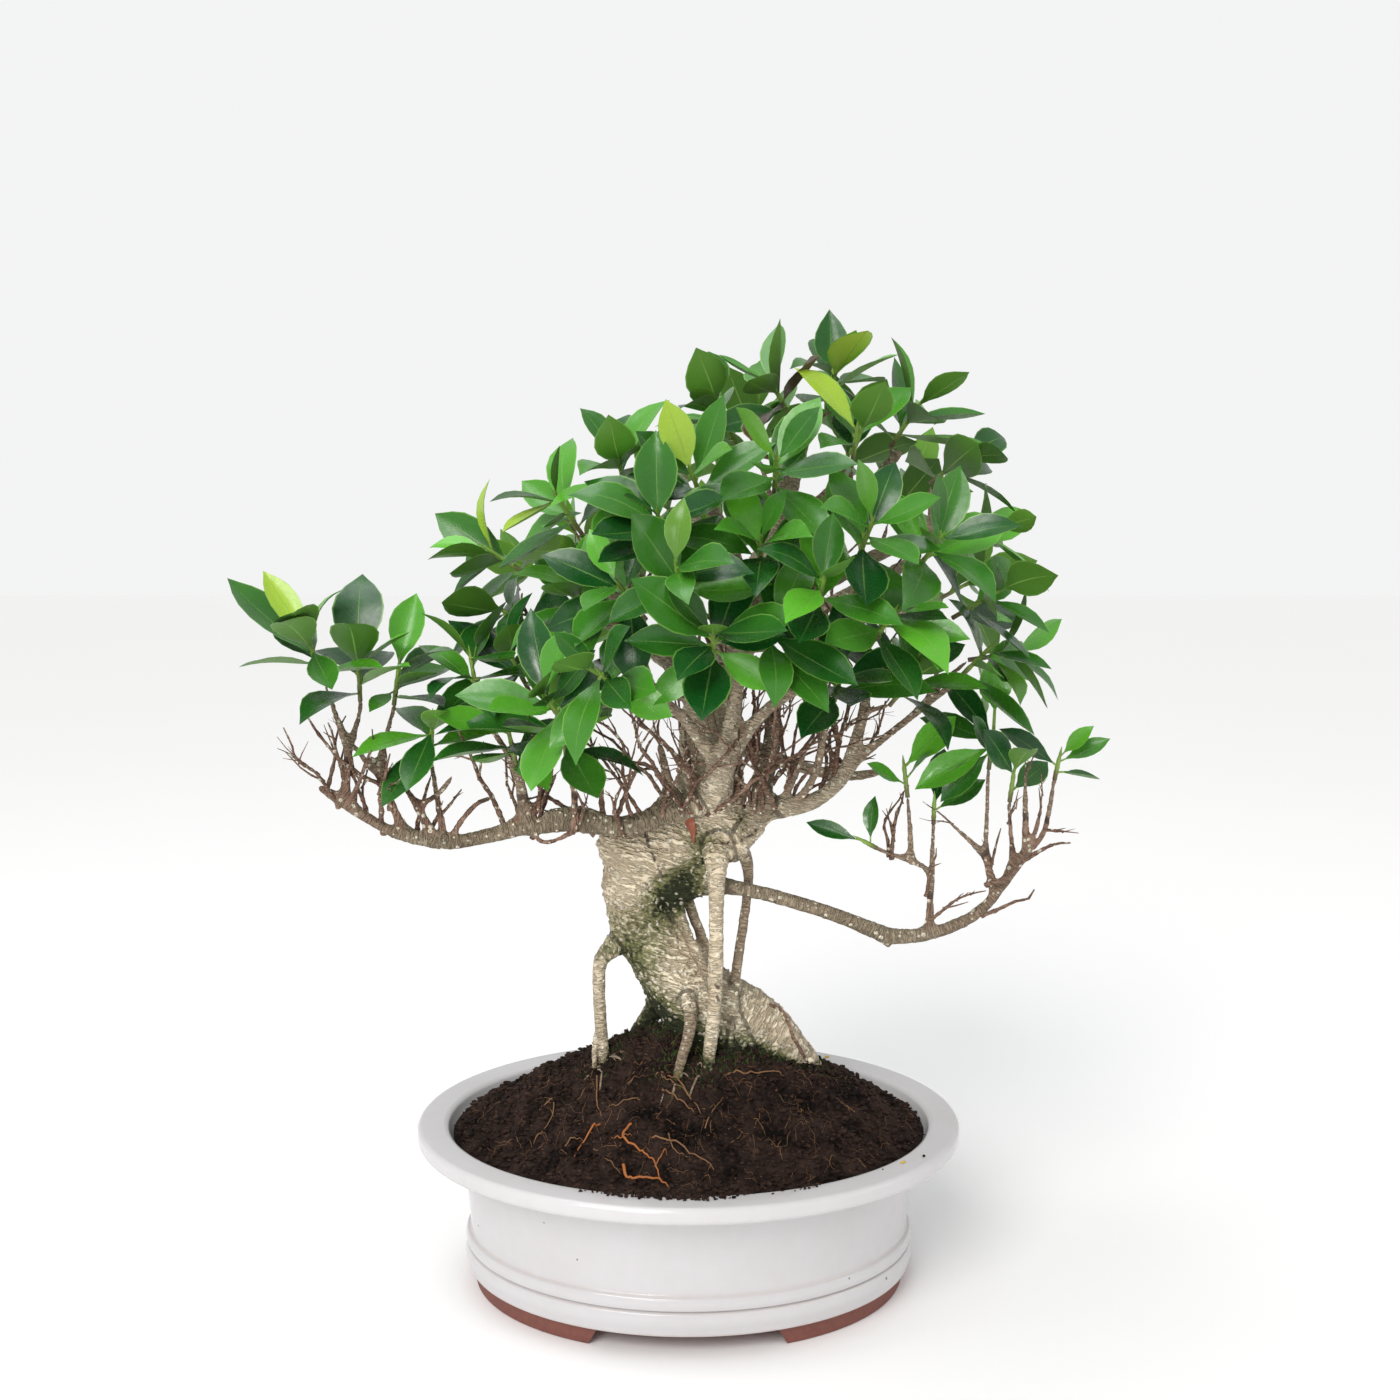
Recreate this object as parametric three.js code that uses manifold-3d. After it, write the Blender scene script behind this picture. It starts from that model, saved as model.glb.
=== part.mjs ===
// Chinese banyan bonsai in a white oval pot. Millimetres, +Z up, feet of the pot on z = 0, front
// towards -Y. Every place below is measured from the middle of the pot; POT_CENTRE moves the whole plant.
import * as THREE from "three";
import { mergeVertices } from "three/addons/utils/BufferGeometryUtils.js";
import Module from "manifold-3d";

const wasm = await Module();
wasm.setup();

const POT_CENTRE = [10, -3];
const CLEARANCE = 0.35;
const WELD = 1e-3;
const WOOD_TOLERANCE = 0.6;
const LEAF_TOLERANCE = 0.25;

// Pot. The plan is an oval: every wall's half width is its half length less OVAL_STEP.
const RIM_HALF_LENGTH = 180;
const OVAL_STEP = 36;
const POT_HEIGHT = 110;
const FOOT_HEIGHT = 11;
const FLOOR_TOP = 20;
const OVAL_SIDES = 24;
const FOOT_GAP_HALF = 56;
const FOOT_GAP_SLANT = 7;
const DRAIN_X = 62;
const DRAIN_RADIUS = 11;

// Drainage mesh over each hole.
const MESH_SIZE = 34;
const MESH_THICKNESS = 1.4;
const MESH_HOLES = 2;
const MESH_BAR = 2.2;

// Planting mix, mounded under the trunk.
const MOUND_TOP = 58;
const MOUND_EDGE = 106;
const MOUND_CENTRE = [2, 0];
const MOUND_SPREAD = [155, 107];
const HEAP = { x: -12, y: -8, height: 9, spread: 22 };
const SOIL_ROUGHNESS = 1.3;

// Leaves and shoots.
const LEAF_LENGTH = 59;
const LEAF_WIDTH = 0.54;
const PETIOLE = 8;
const ROOT_DEPTH = 1.3;
const KEEL = 1.7;
const LEAF_GAP = 2.3;
const OWN_LEAF_GAP = 1.9;
const STEM_RADIUS = 1.5;
const STEM_SIDES = 3;
const TWIG_TIP = 1.7;
const GOLDEN_ANGLE = 137.5;
const SEED = 20260413;

const BARK = 0x9a8d76;
const GREEN = 0x2f6b2c;
const STEM_GREEN = 0x7fa046;
const WHITE_GLAZE = 0xe9eef2;
const DARK_SOIL = 0x241b16;
const MESH_BLACK = 0x26282a;

// Half length and height round the pot's section: under the floor, over the foot and wall, down inside.
const POT_SECTION = [
  [0, FOOT_HEIGHT], [127, FOOT_HEIGHT], [129.5, 0], [143, 0], [144.5, 12], [147.5, 14],
  [149.2, 21], [147, 28.4], [149, 33.5], [146.4, 39], [149.8, 78], [151, 91], [169, 96],
  [RIM_HALF_LENGTH, 101], [RIM_HALF_LENGTH, POT_HEIGHT], [160, POT_HEIGHT],
  [157.6, 102.5], [143.5, 88], [139.5, 46], [130, FLOOR_TOP], [0, FLOOR_TOP],
];

// The soil's own section up the wall, a little inside the pot's.
const SOIL_SECTION = [
  [0, FLOOR_TOP + CLEARANCE], [129.5, FLOOR_TOP + CLEARANCE], [139, 46], [143, 88.2],
  [156.9, 102.4],
];
const SOIL_RINGS = [146, 116, 80, 42];

// Limbs as stations along their middle: [x, y, z, radius]. Each is sunk in the limb or the soil it starts from.
const ROOTS = {
  trunk: [[22, 8, 95, 30], [22, 6, 128, 31], [17, 4, 160, 30], [8, 2, 185, 27], [-22, -2, 227, 21],
    [-33, -2, 247, 20], [-37, -3, 268, 20], [-32, -4, 285, 22], [-13, -4, 290, 20], [5, -2, 298, 21],
    [15, 0, 314, 24], [13, 0, 375, 19]],
  rootRight: [[5, 4, 198, 16], [26, 6, 185, 19], [48, 6, 170, 19], [67, 6, 152, 16], [98, 2, 111, 6]],
  rootLeft: [[-11, 10, 196, 9], [-36, 14, 159, 5], [-66, 14, 118, 3.4]],
  rootBack: [[18, 20, 168, 17], [32, 45, 138, 12], [43, 60, 103, 8]],
  legRoot: [[-3, -20, 201, 6], [2, -30, 192, 5], [1, -38, 179, 4.2], [-4, -44, 166, 3.6],
    [-8, -48, 149, 3.2]],
  pillarLeft: [[-42, -6, 233, 9], [-58, -14, 222, 5.2], [-59, -15, 204, 4.2], [-54, -18, 130, 4]],
  pillarLeftSplit: [[-58, -18, 175, 2.6], [-62, -21, 165, 2.2], [-60, -27, 137, 2.2]],
  pillarCentre: [[18, -24, 299, 10], [18, -32, 286, 6.8], [18, -36, 270, 4.6], [18, -38, 201, 4.7],
    [10, -38, 136, 4.2]],
  pillarRight: [[30, -8, 300, 7], [38, -2, 286, 4.8], [40, 0, 272, 3.6], [38, 0, 254, 3.4],
    [31, -8, 209, 3.4], [26, -22, 166, 3.6], [23, -26, 133, 3.4]],
};

const LIMBS = {
  shoulder: [[-24, -4, 271, 16], [-41, -6, 290, 15], [-55, -10, 301, 9]],
  knot: [[18, -8, 295, 15], [27, -14, 302, 15], [31, -16, 290, 9]],
  underBulge: [[-24, -6, 277, 13], [-8, -8, 271, 14], [6, -9, 273, 11], [18, -11, 274, 7]],
  strutFront: [[-25, -4, 279, 6], [-13, -8, 266, 4.2], [1, -14, 233, 3.6], [10, -20, 218, 3.8],
    [17, -36, 205, 4.2]],
  strutBack: [[-4, 2, 267, 6], [1, 4, 251, 3.8], [9, 4, 230, 3.6], [22, 0, 189, 4.2]],
  stemRight: [[30, -14, 299, 9], [42, -20, 310, 8.6], [45, -20, 328, 6.4], [56, -10, 368, 6.4],
    [53, -4, 386, 6]],
  branchLeft: [[13, -14, 327, 9], [3, -25, 325, 7.6], [-10, -30, 322, 7.2], [-40, -35, 312, 7.4],
    [-71, -37, 318, 6.6], [-106, -38, 313, 4.6], [-144, -38, 304, 4.8], [-161, -38, 304, 5],
    [-191, -38, 312, 3.8], [-231, -38, 339, 2.7]],
  branchLeftHump: [[-90, -39, 321, 4.4], [-67, -39, 325, 4.8], [-52, -38, 318, 4.4]],
  twigA: [[-216, -38, 329, 3], [-212, -38, 362, 2.3], [-224, -40, 401, 1.7]],
  twigAMid: [[-212, -38, 362, 2.2], [-206, -32, 386, 1.8]],
  twigB: [[-179, -38, 312, 3], [-199, -36, 358, 2.3]],
  twigBFork: [[-196, -36, 351, 2], [-187, -26, 383, 1.7]],
  twigBForkLeft: [[-196, -36, 346, 2], [-210, -34, 366, 1.8]],
  twigC: [[-159, -38, 307, 3], [-177, -41, 340, 2.2]],
  twigCFork: [[-170, -39, 328, 2], [-156, -42, 335, 1.9], [-147, -46, 347, 1.8]],
  twigD: [[-154, -37, 308, 2.6], [-162, -30, 353, 1.7]],
  twigE: [[-150, -38, 307, 2.4], [-141, -37, 321, 2.1], [-132, -36, 330, 1.9], [-124, -36, 332, 1.7]],
  twigF: [[-101, -40, 316, 4.4], [-105, -44, 346, 3.2]],
  twigFLow: [[-97, -40, 321, 3.2], [-83, -35, 347, 1.7]],
  twigG: [[-71, -46, 311, 2.6], [-70, -52, 340, 2.4], [-74, -54, 354, 2]],
  loopRoot: [[-71, -47, 317, 1.9], [-73, -50, 312, 1.9], [-89, -48, 305, 1.8], [-95, -44, 308, 1.8],
    [-97, -40, 313, 1.8]],
  stubNeck: [[-8, -28, 322, 3.6], [-18, -28, 365, 2.6]],
  branchRight: [[1, -2, 271, 8], [30, -14, 269, 4.8], [50, -18, 266, 4.6], [95, -20, 253, 4.6],
    [129, -20, 238, 5.2], [147, -20, 238, 4.9], [165, -20, 242, 4.2], [183, -20, 250, 3.8],
    [195, -20, 261, 3.5], [218, -20, 294, 2.8]],
  branchRightKnob: [[127, -20, 237, 3.2], [130, -20, 231, 1.8]],
  twigR1: [[156, -20, 240, 2.8], [156, -20, 279, 2.2], [151, -20, 285, 2], [127, -23, 294, 1.6]],
  twigR1Mid: [[157, -20, 267, 2], [158, -15, 304, 1.6]],
  twigR1Up: [[144, -21, 286, 1.9], [141, -22, 323, 1.6]],
  twigR2: [[197, -20, 263, 2.6], [191, -20, 298, 1.9], [191, -22, 341, 1.6]],
  twigR2Left: [[193, -20, 290, 1.8], [167, -24, 314, 1.5]],
  twigR3: [[210, -20, 282, 2], [206, -17, 319, 1.6]],
  twigR4: [[217, -20, 291, 2.6], [215, -22, 341, 1.9]],
  twigR5: [[217, -20, 292, 2.4], [230, -17, 305, 2.1], [234, -15, 333, 1.8]],
  twigR6: [[220, -20, 296, 2], [225, -24, 321, 1.6]],
  leader: [[13, 0, 375, 18], [17, 4, 396, 16], [24, 8, 418, 14], [46, 10, 467, 10],
    [75, 0, 563, 4.2], [81, 0, 582, 3]],
  limbUpLeft: [[13, 0, 387, 12], [0, -4, 408, 10], [-19, -8, 426, 9], [-38, -12, 435, 7.4],
    [-55, -12, 446, 6], [-78, -6, 483, 3.4]],
  limbUpLeftMid: [[-38, -12, 435, 6], [-41, -26, 457, 4.8], [-46, -42, 500, 3]],
  limbLeftLow: [[11, -2, 380, 9], [1, -14, 398, 7], [-20, -40, 401, 5.4], [-44, -58, 397, 4.2],
    [-65, -68, 396, 3.2]],
  limbBackLeft: [[15, 12, 395, 9], [-7, 48, 405, 7], [-34, 76, 422, 5.6], [-63, 94, 441, 4.2],
    [-87, 100, 458, 3]],
  limbUpBack: [[30, 12, 430, 9], [22, 42, 453, 7], [12, 58, 480, 5.6], [2, 64, 510, 4.4],
    [-6, 64, 538, 3]],
  limbUpFront: [[40, 2, 450, 8], [31, -30, 475, 6.2], [21, -48, 499, 4.8], [12, -56, 521, 3.4]],
  limbRight: [[31, 6, 433, 9.5], [56, -6, 451, 8], [83, -18, 465, 6.4], [110, -24, 480, 5],
    [135, -24, 492, 3.8], [157, -20, 503, 2.8]],
  limbRightUp: [[46, 8, 467, 7.5], [94, -16, 508, 4.8], [115, -20, 528, 3.8], [132, -20, 548, 2.8]],
  limbRightBack: [[26, 14, 421, 9], [58, 52, 429, 7], [95, 80, 445, 5.4], [131, 96, 462, 4],
    [162, 100, 479, 3]],
  limbRightMid: [[33, 2, 435, 8], [64, -34, 439, 6.2], [93, -56, 445, 4.8], [122, -64, 452, 3.6],
    [146, -64, 456, 2.8]],
  limbBack: [[18, 14, 385, 10], [23, 56, 396, 7.6], [29, 88, 413, 6], [35, 108, 436, 4.6],
    [39, 116, 461, 3.2]],
  limbRightLow: [[47, -22, 323, 7.4], [74, -26, 325, 5.6], [88, -28, 333, 5], [99, -30, 345, 4.6],
    [109, -32, 379, 3.4], [112, -32, 399, 2.8]],
  limbRightFar: [[102, -30, 352, 3.4], [164, -34, 403, 2]],
  limbRightBehind: [[19, 2, 353, 10], [34, 12, 360, 8], [64, 26, 344, 4.4], [90, 34, 336, 3.8],
    [112, 38, 332, 3.4], [129, 38, 336, 2.6]],
  spurRightA: [[65, -26, 325, 3.8], [74, -36, 336, 3], [81, -44, 351, 2.6], [85, -50, 386, 1.9]],
  spurRightB: [[60, -24, 325, 2.6], [74, -34, 361, 1.8]],
  limbFront: [[16, -14, 327, 13], [19, -34, 342, 10], [24, -54, 369, 6.2]],
  limbFrontRight: [[23, -40, 351, 6], [33, -58, 374, 4.8], [48, -74, 395, 3.8], [67, -84, 408, 3]],
  limbFrontLeft: [[21, -42, 352, 5.4], [-4, -74, 392, 3.4], [-19, -84, 403, 2.8]],
  limbFrontUp: [[24, -54, 368, 5.4], [34, -88, 430, 2.8]],
};

// Shoots: at is the lowest point of the green stem, lean its direction as [clock angle seen from the front,
// tilt towards the front], stem its length. placed holds single leaves as [clock angle, tilt, length, width,
// how far the upper side turns to the front]; leaves is how many more grow round the stem.
const SHOOTS = [
  { at: [-224, -40, 401], lean: [-18, 5], stem: 26, leaves: 4,
    placed: [[-71, 39, 54, 0.9], [-92, 59, 54, 0.9], [-48, -12, 78, 0.9], [124, 61, 54, 0.8],
      [-31, -12, 61, 0.7], [-6, 51, 54, 1.25]] },
  { at: [-206, -32, 386], lean: [0, 5], stem: 26, leaves: 5,
    placed: [[52, 35, 54, 0.95], [-30, 66, 45, 0.9], [3, 29, 54, 1.3], [-2, -12, 62, 1.2]] },
  { at: [-187, -26, 383], lean: [10, 8], stem: 25, leaves: 5,
    placed: [[-109, 70, 32, 1], [61, 46, 54, 0.9], [43, -42, 54, 0.9], [-26, 53, 54, 0.9],
      [5, -12, 53, 1]] },
  { at: [-162, -30, 353], lean: [5, 12], stem: 22, leaves: 5,
    placed: [[-139, 33, 54, 1], [-84, 38, 54, 0.9], [-161, 58, 54, 0.9], [45, -51, 54, 1],
      [76, 20, 50, 0.95, 1.2]] },
  { at: [-132, -30, 394], lean: [-8, 5], stem: 28, leaves: 4,
    placed: [[-48, -25, 54, 0.95], [-63, 55, 54, 0.95], [14, 12, 54, 1.1], [8, -12, 61, 1.15],
      [69, 52, 54, 1]] },
  { at: [-105, -44, 346], lean: [-10, 15], stem: 28, leaves: 5,
    placed: [[-71, 64, 47, 1.05], [-77, 31, 54, 1], [69, 69, 38, 1], [-100, 20, 54, 0.9, 1.2],
      [-62, 30, 50, 0.9, 1], [-13, -62, 54, 1]] },
  { at: [-74, -54, 354], lean: [-2, 20], stem: 30, leaves: 6,
    placed: [[137, 51, 54, 1.15], [-80, 12, 78, 1], [50, 12, 54, 0.95, 1.1], [73, -58, 54, 1],
      [-41, 65, 45, 1]] },
  { at: [-102, -12, 398], lean: [-25, 14], stem: 28, leaves: 7,
    placed: [[-51, -12, 64, 0.95], [-85, 50, 54, 1]] },
  { at: [-75, -92, 391], lean: [-25, 46], stem: 26, leaves: 7,
    placed: [[-70, 51, 54, 1.1], [1, 61, 54, 1.2]] },
  { at: [-106, 10, 471], lean: [-55, 14], stem: 28, leaves: 6,
    placed: [[-57, -12, 68, 0.85], [-95, 53, 54, 1], [-77, 34, 54, 0.8], [-156, 51, 54, 1]] },
  { at: [-66, -30, 498], lean: [-32, 24], stem: 28, leaves: 6,
    placed: [[-52, -30, 54, 0.9], [-99, 68, 40, 0.9], [17, -50, 54, 1], [-111, 49, 54, 0.8]] },
  { at: [-36, -40, 516], lean: [-12, 24], stem: 30, leaves: 8,
    placed: [[-11, 30, 54, 1.1], [51, 54, 54, 0.8]] },
  { at: [-15, -100, 495], lean: [-5, 46], stem: 22, leaves: 9,
    placed: [[-3, 12, 52, 1.15]] },
  { at: [-2, -112, 464], lean: [-12, 46], stem: 26, leaves: 7,
    placed: [[-28, 25, 54, 1.35], [53, 60, 54, 1]] },
  { at: [-30, -88, 455], lean: [-30, 46], stem: 26, leaves: 8,
    placed: [[179, 43, 54, 1.15], [-97, 65, 46, 1]] },
  { at: [15, -112, 426], lean: [0, 46], stem: 28, leaves: 7,
    placed: [[-126, 20, 48, 0.9, 1.2], [118, 25, 46, 1, 1.2], [-78, 25, 52, 0.9, 1],
      [76, 20, 44, 0.9, 1], [-40, 12, 61, 1.2], [-2, 70, 35, 1.2], [59, 47, 54, 1]] },
  { at: [-54, -50, 444], lean: [-30, 24], stem: 28, leaves: 10, placed: [] },
  { at: [-39, -112, 408], lean: [-35, 46], stem: 24, leaves: 8,
    placed: [[-129, 25, 52, 0.95, 1.2], [100, 20, 42, 1.1, 1.2], [-48, 42, 54, 1.1],
      [-150, 38, 54, 1]] },
  { at: [-102, 18, 436], lean: [-60, 14], stem: 26, leaves: 7,
    placed: [[-69, 32, 54, 1.1]] },
  { at: [-61, 70, 474], lean: [-40, -25], stem: 28, leaves: 7, placed: [] },
  { at: [-31, 108, 434], lean: [-45, -50], stem: 28, leaves: 7, placed: [] },
  { at: [-94, 100, 458], lean: [-70, -40], stem: 28, leaves: 6, placed: [] },
  { at: [91, 0, 574], lean: [2, 14], stem: 26, leaves: 6,
    placed: [[-2, 4, 57, 0.9, 1], [-40, -53, 54, 1], [66, -41, 54, 1], [20, 45, 54, 1.2],
      [40, 55, 54, 0.8]] },
  { at: [66, -20, 566], lean: [-32, 14], stem: 28, leaves: 8,
    placed: [[-100, 20, 50, 1, 1.2], [-9, 27, 54, 1], [-35, -61, 54, 0.9]] },
  { at: [32, -20, 549], lean: [-28, 14], stem: 26, leaves: 8,
    placed: [[44, 10, 50, 1, 1], [-24, 12, 56, 1.15], [-10, -61, 54, 1]] },
  { at: [99, -52, 539], lean: [6, 24], stem: 26, leaves: 6,
    placed: [[18, 29, 54, 1.15], [-23, -27, 54, 0.8], [-70, 47, 54, 1]] },
  { at: [128, -8, 552], lean: [32, 14], stem: 28, leaves: 7,
    placed: [[4, -12, 52, 1], [77, -59, 54, 1]] },
  { at: [152, -15, 529], lean: [52, 4], stem: 26, leaves: 6,
    placed: [[72, -30, 54, 0.85], [15, -66, 44, 0.95]] },
  { at: [10, -82, 516], lean: [-22, 46], stem: 28, leaves: 9, placed: [] },
  { at: [51, -84, 522], lean: [0, 46], stem: 28, leaves: 9, placed: [] },
  { at: [47, 62, 547], lean: [-10, -30], stem: 28, leaves: 7, placed: [] },
  { at: [104, 62, 537], lean: [20, -30], stem: 28, leaves: 7, placed: [] },
  { at: [-11, 62, 506], lean: [-25, -30], stem: 28, leaves: 7, placed: [] },
  { at: [165, -20, 492], lean: [72, 14], stem: 28, leaves: 7,
    placed: [[72, -12, 52, 0.95], [17, -63, 54, 1]] },
  { at: [165, -35, 446], lean: [55, 24], stem: 28, leaves: 7,
    placed: [[60, 12, 52, 1.2]] },
  { at: [178, -20, 418], lean: [80, 14], stem: 26, leaves: 7,
    placed: [[92, -43, 54, 0.95], [136, 49, 54, 0.95]] },
  { at: [137, -72, 478], lean: [30, 40], stem: 28, leaves: 9, placed: [] },
  { at: [100, -95, 487], lean: [15, 46], stem: 28, leaves: 9, placed: [] },
  { at: [75, -112, 456], lean: [5, 46], stem: 28, leaves: 8, placed: [] },
  { at: [110, -95, 438], lean: [25, 46], stem: 28, leaves: 9,
    placed: [[102, 58, 54, 1.2]] },
  { at: [46, -112, 433], lean: [12, 46], stem: 26, leaves: 8,
    placed: [[147, 52, 54, 1]] },
  { at: [89, -70, 399], lean: [8, 40], stem: 26, leaves: 9, placed: [] },
  { at: [126, -40, 392], lean: [35, 24], stem: 26, leaves: 9, placed: [] },
  { at: [164, -34, 403], lean: [40, 24], stem: 28, leaves: 7,
    placed: [[110, 61, 54, 1]] },
  { at: [43, -92, 476], lean: [-3, 46], stem: 28, leaves: 8,
    placed: [[33, 60, 54, 1]] },
  { at: [137, 72, 506], lean: [40, -30], stem: 28, leaves: 7, placed: [] },
  { at: [175, 78, 451], lean: [65, -30], stem: 28, leaves: 7, placed: [] },
  { at: [76, 112, 469], lean: [10, -50], stem: 28, leaves: 7, placed: [] },
  { at: [19, 116, 469], lean: [-20, -50], stem: 28, leaves: 7, placed: [] },
  { at: [127, -23, 294], lean: [-60, 10], stem: 10, leaves: 0,
    placed: [[-4, 5, 32, 0.95, 1.2], [-72, -10, 40, 0.7, 0.3]] },
  { at: [141, -22, 323], lean: [-8, 5], stem: 20, leaves: 0,
    placed: [[-50, 20, 36, 0.85, 0.8], [24, 35, 30, 0.8, 0.5], [-34, 10, 38, 0.85, 0.8],
      [42, 0, 48, 1, 1.3]] },
  { at: [191, -22, 341], lean: [5, 5], stem: 24, leaves: 0,
    placed: [[-25, 35, 40, 0.85, 1], [-128, 15, 46, 0.9, 1],
      [-112, 10, 56, 0.85, 1], [-66, -20, 52, 0.85, 1], [-38, -10, 52, 0.9, 1], [4, 0, 54, 0.95, 1.2]] },
  { at: [206, -17, 319], lean: [5, 8], stem: 18, leaves: 1,
    placed: [[60, -35, 42, 1, 1.2], [-31, 32, 46, 1.05, 1.5]] },
  { at: [234, -15, 333], lean: [10, 3], stem: 14, leaves: 0,
    placed: [[94, -16, 34, 0.75, 0.1], [-50, 4, 46, 0.9, 1], [60, 9, 37, 0.85, 0.9],
      [32, 28, 32, 0.9, 1]] },
  { at: [158, -15, 304], lean: [0, 5], stem: 14, leaves: 0,
    placed: [[-100, 10, 32, 0.75, 0.4], [56, 0, 40, 0.9, 1], [30, -25, 44, 1, 1], [48, 5, 52, 0.9, 1.3]] },
];

const vector = (p) => new THREE.Vector3(p[0], p[1], p[2]);
const radians = (degrees) => (degrees * Math.PI) / 180;

// Repeatable random numbers between 0 and 1.
function randomFrom(seed) {
  let state = seed >>> 0;
  return () => {
    state = (Math.imul(state, 1664525) + 1013904223) >>> 0;
    return state / 4294967296;
  };
}

// A geometry as a solid: coincident vertices are welded and triangles without area dropped.
function solidFrom(geometry) {
  const bare = new THREE.BufferGeometry();
  bare.setAttribute("position", geometry.getAttribute("position"));
  bare.setIndex(geometry.getIndex());
  const welded = mergeVertices(bare, WELD);
  const corners = welded.getIndex().array;
  const kept = [];
  for (let i = 0; i < corners.length; i += 3) {
    const [a, b, c] = [corners[i], corners[i + 1], corners[i + 2]];
    if (a !== b && b !== c && c !== a) kept.push(a, b, c);
  }
  return new wasm.Manifold(
    new wasm.Mesh({
      numProp: 3,
      vertProperties: welded.getAttribute("position").array,
      triVerts: new Uint32Array(kept),
    }),
  );
}

function meshFrom(solid, name, color, roughness) {
  const made = solid.getMesh();
  const geometry = new THREE.BufferGeometry();
  const position = new THREE.BufferAttribute(made.vertProperties, made.numProp);
  geometry.setAttribute("position", position);
  geometry.setIndex(new THREE.BufferAttribute(made.triVerts, 1));
  geometry.computeVertexNormals();
  const mesh = new THREE.Mesh(geometry, new THREE.MeshStandardMaterial({ color, roughness }));
  mesh.name = name;
  return mesh;
}

// Pot and soil.

// The oval's half width at a half length: walls are parallel curves, and the floor narrows in proportion.
function halfWidth(halfLength) {
  const wallFrom = 100;
  if (halfLength >= wallFrom) return halfLength - OVAL_STEP;
  return (halfLength * (wallFrom - OVAL_STEP)) / wallFrom;
}

// A section turned round the upright axis and squeezed to the pot's oval.
function ovalLathe(section, sides) {
  const points = section.map(([r, z]) => new THREE.Vector2(r, z));
  const geometry = new THREE.LatheGeometry(points, sides);
  const position = geometry.getAttribute("position");
  for (let i = 0; i < position.count; i++) {
    const [x, z, y] = [position.getX(i), position.getY(i), -position.getZ(i)];
    const r = Math.hypot(x, y);
    const squeeze = r > WELD ? halfWidth(r) / r : 1;
    position.setXYZ(i, x, y * squeeze, z);
  }
  return geometry;
}

// A bar along Y whose section in the XZ plane narrows upwards.
function taperedBar(halfBottom, halfTop, height, from, length) {
  const geometry = new THREE.BoxGeometry(2, length, height);
  const position = geometry.getAttribute("position");
  for (let i = 0; i < position.count; i++) {
    const half = position.getZ(i) > 0 ? halfTop : halfBottom;
    position.setX(i, position.getX(i) * half);
  }
  geometry.translate(0, from, height / 2 - 1);
  return solidFrom(geometry);
}

function makePot() {
  let pot = solidFrom(ovalLathe(POT_SECTION, OVAL_SIDES));
  for (const side of [-1, 1]) {
    const bottom = FOOT_GAP_HALF + FOOT_GAP_SLANT;
    pot = pot.subtract(taperedBar(bottom, FOOT_GAP_HALF, FOOT_HEIGHT + 1.01, side * 100, 60));
    const drill = new THREE.CylinderGeometry(DRAIN_RADIUS, DRAIN_RADIUS, 40, 16);
    drill.rotateX(Math.PI / 2);
    drill.translate(side * DRAIN_X, 0, FLOOR_TOP - 5);
    pot = pot.subtract(solidFrom(drill));
  }
  return pot;
}

// The mound falls from the trunk to the wall, with more soil heaped against the roots on the left.
function soilHeight(x, y) {
  const across = ((x - MOUND_CENTRE[0]) / MOUND_SPREAD[0]) ** 2;
  const along = ((y - MOUND_CENTRE[1]) / MOUND_SPREAD[1]) ** 2;
  const rise = Math.max(0, 1 - across - along) ** 1.25;
  const near = ((x - HEAP.x) ** 2 + (y - HEAP.y) ** 2) / (2 * HEAP.spread ** 2);
  return MOUND_EDGE - (y + x * 0.3) / 50 + MOUND_TOP * rise + HEAP.height * Math.exp(-near);
}

function makeSoil() {
  const rings = SOIL_RINGS.map((r) => [r, 200]);
  const geometry = ovalLathe([...SOIL_SECTION, ...rings, [0, 200]], OVAL_SIDES);
  const position = geometry.getAttribute("position");
  for (let i = 0; i < position.count; i++) {
    if (position.getZ(i) < 190) continue;
    const [x, y] = [position.getX(i), position.getY(i)];
    const ripple = Math.sin(x * 0.31 + y * 0.17) + Math.sin(y * 0.43 - x * 0.11);
    position.setZ(i, soilHeight(x, y) + (SOIL_ROUGHNESS * ripple) / 2);
  }
  return solidFrom(geometry);
}

function makeDrainMesh(x) {
  const base = FLOOR_TOP + CLEARANCE;
  const plate = new THREE.BoxGeometry(MESH_SIZE, MESH_SIZE, MESH_THICKNESS);
  plate.translate(x, 0, base + MESH_THICKNESS / 2);
  let pad = solidFrom(plate);
  const pitch = (MESH_SIZE - MESH_BAR) / MESH_HOLES;
  for (let i = 0; i < MESH_HOLES; i++) {
    for (let j = 0; j < MESH_HOLES; j++) {
      const hole = new THREE.BoxGeometry(pitch - MESH_BAR, pitch - MESH_BAR, 9);
      const step = (k) => (k - (MESH_HOLES - 1) / 2) * pitch;
      hole.translate(x + step(i), step(j), base);
      pad = pad.subtract(solidFrom(hole));
    }
  }
  return pad;
}

// The pocket in the soil that a drainage mesh lies in.
function drainPocket(x) {
  const side = MESH_SIZE + 2 * CLEARANCE;
  const pocket = new THREE.BoxGeometry(side, side, MESH_THICKNESS + 2);
  pocket.translate(x, 0, FLOOR_TOP + MESH_THICKNESS / 2 + 2 * CLEARANCE - 1);
  return solidFrom(pocket);
}

// Wood.

// Curves whose stations are even steps of the curve's own parameter, so that rings sit exactly on them.
class StationCurve extends THREE.CatmullRomCurve3 {
  getPointAt(share, target) {
    return this.getPoint(share, target);
  }

  getTangentAt(share, target) {
    return this.getTangent(share, target);
  }
}

class TwigCurve extends THREE.CubicBezierCurve3 {
  getPointAt(share, target) {
    return this.getPoint(share, target);
  }

  getTangentAt(share, target) {
    return this.getTangent(share, target);
  }
}

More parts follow.
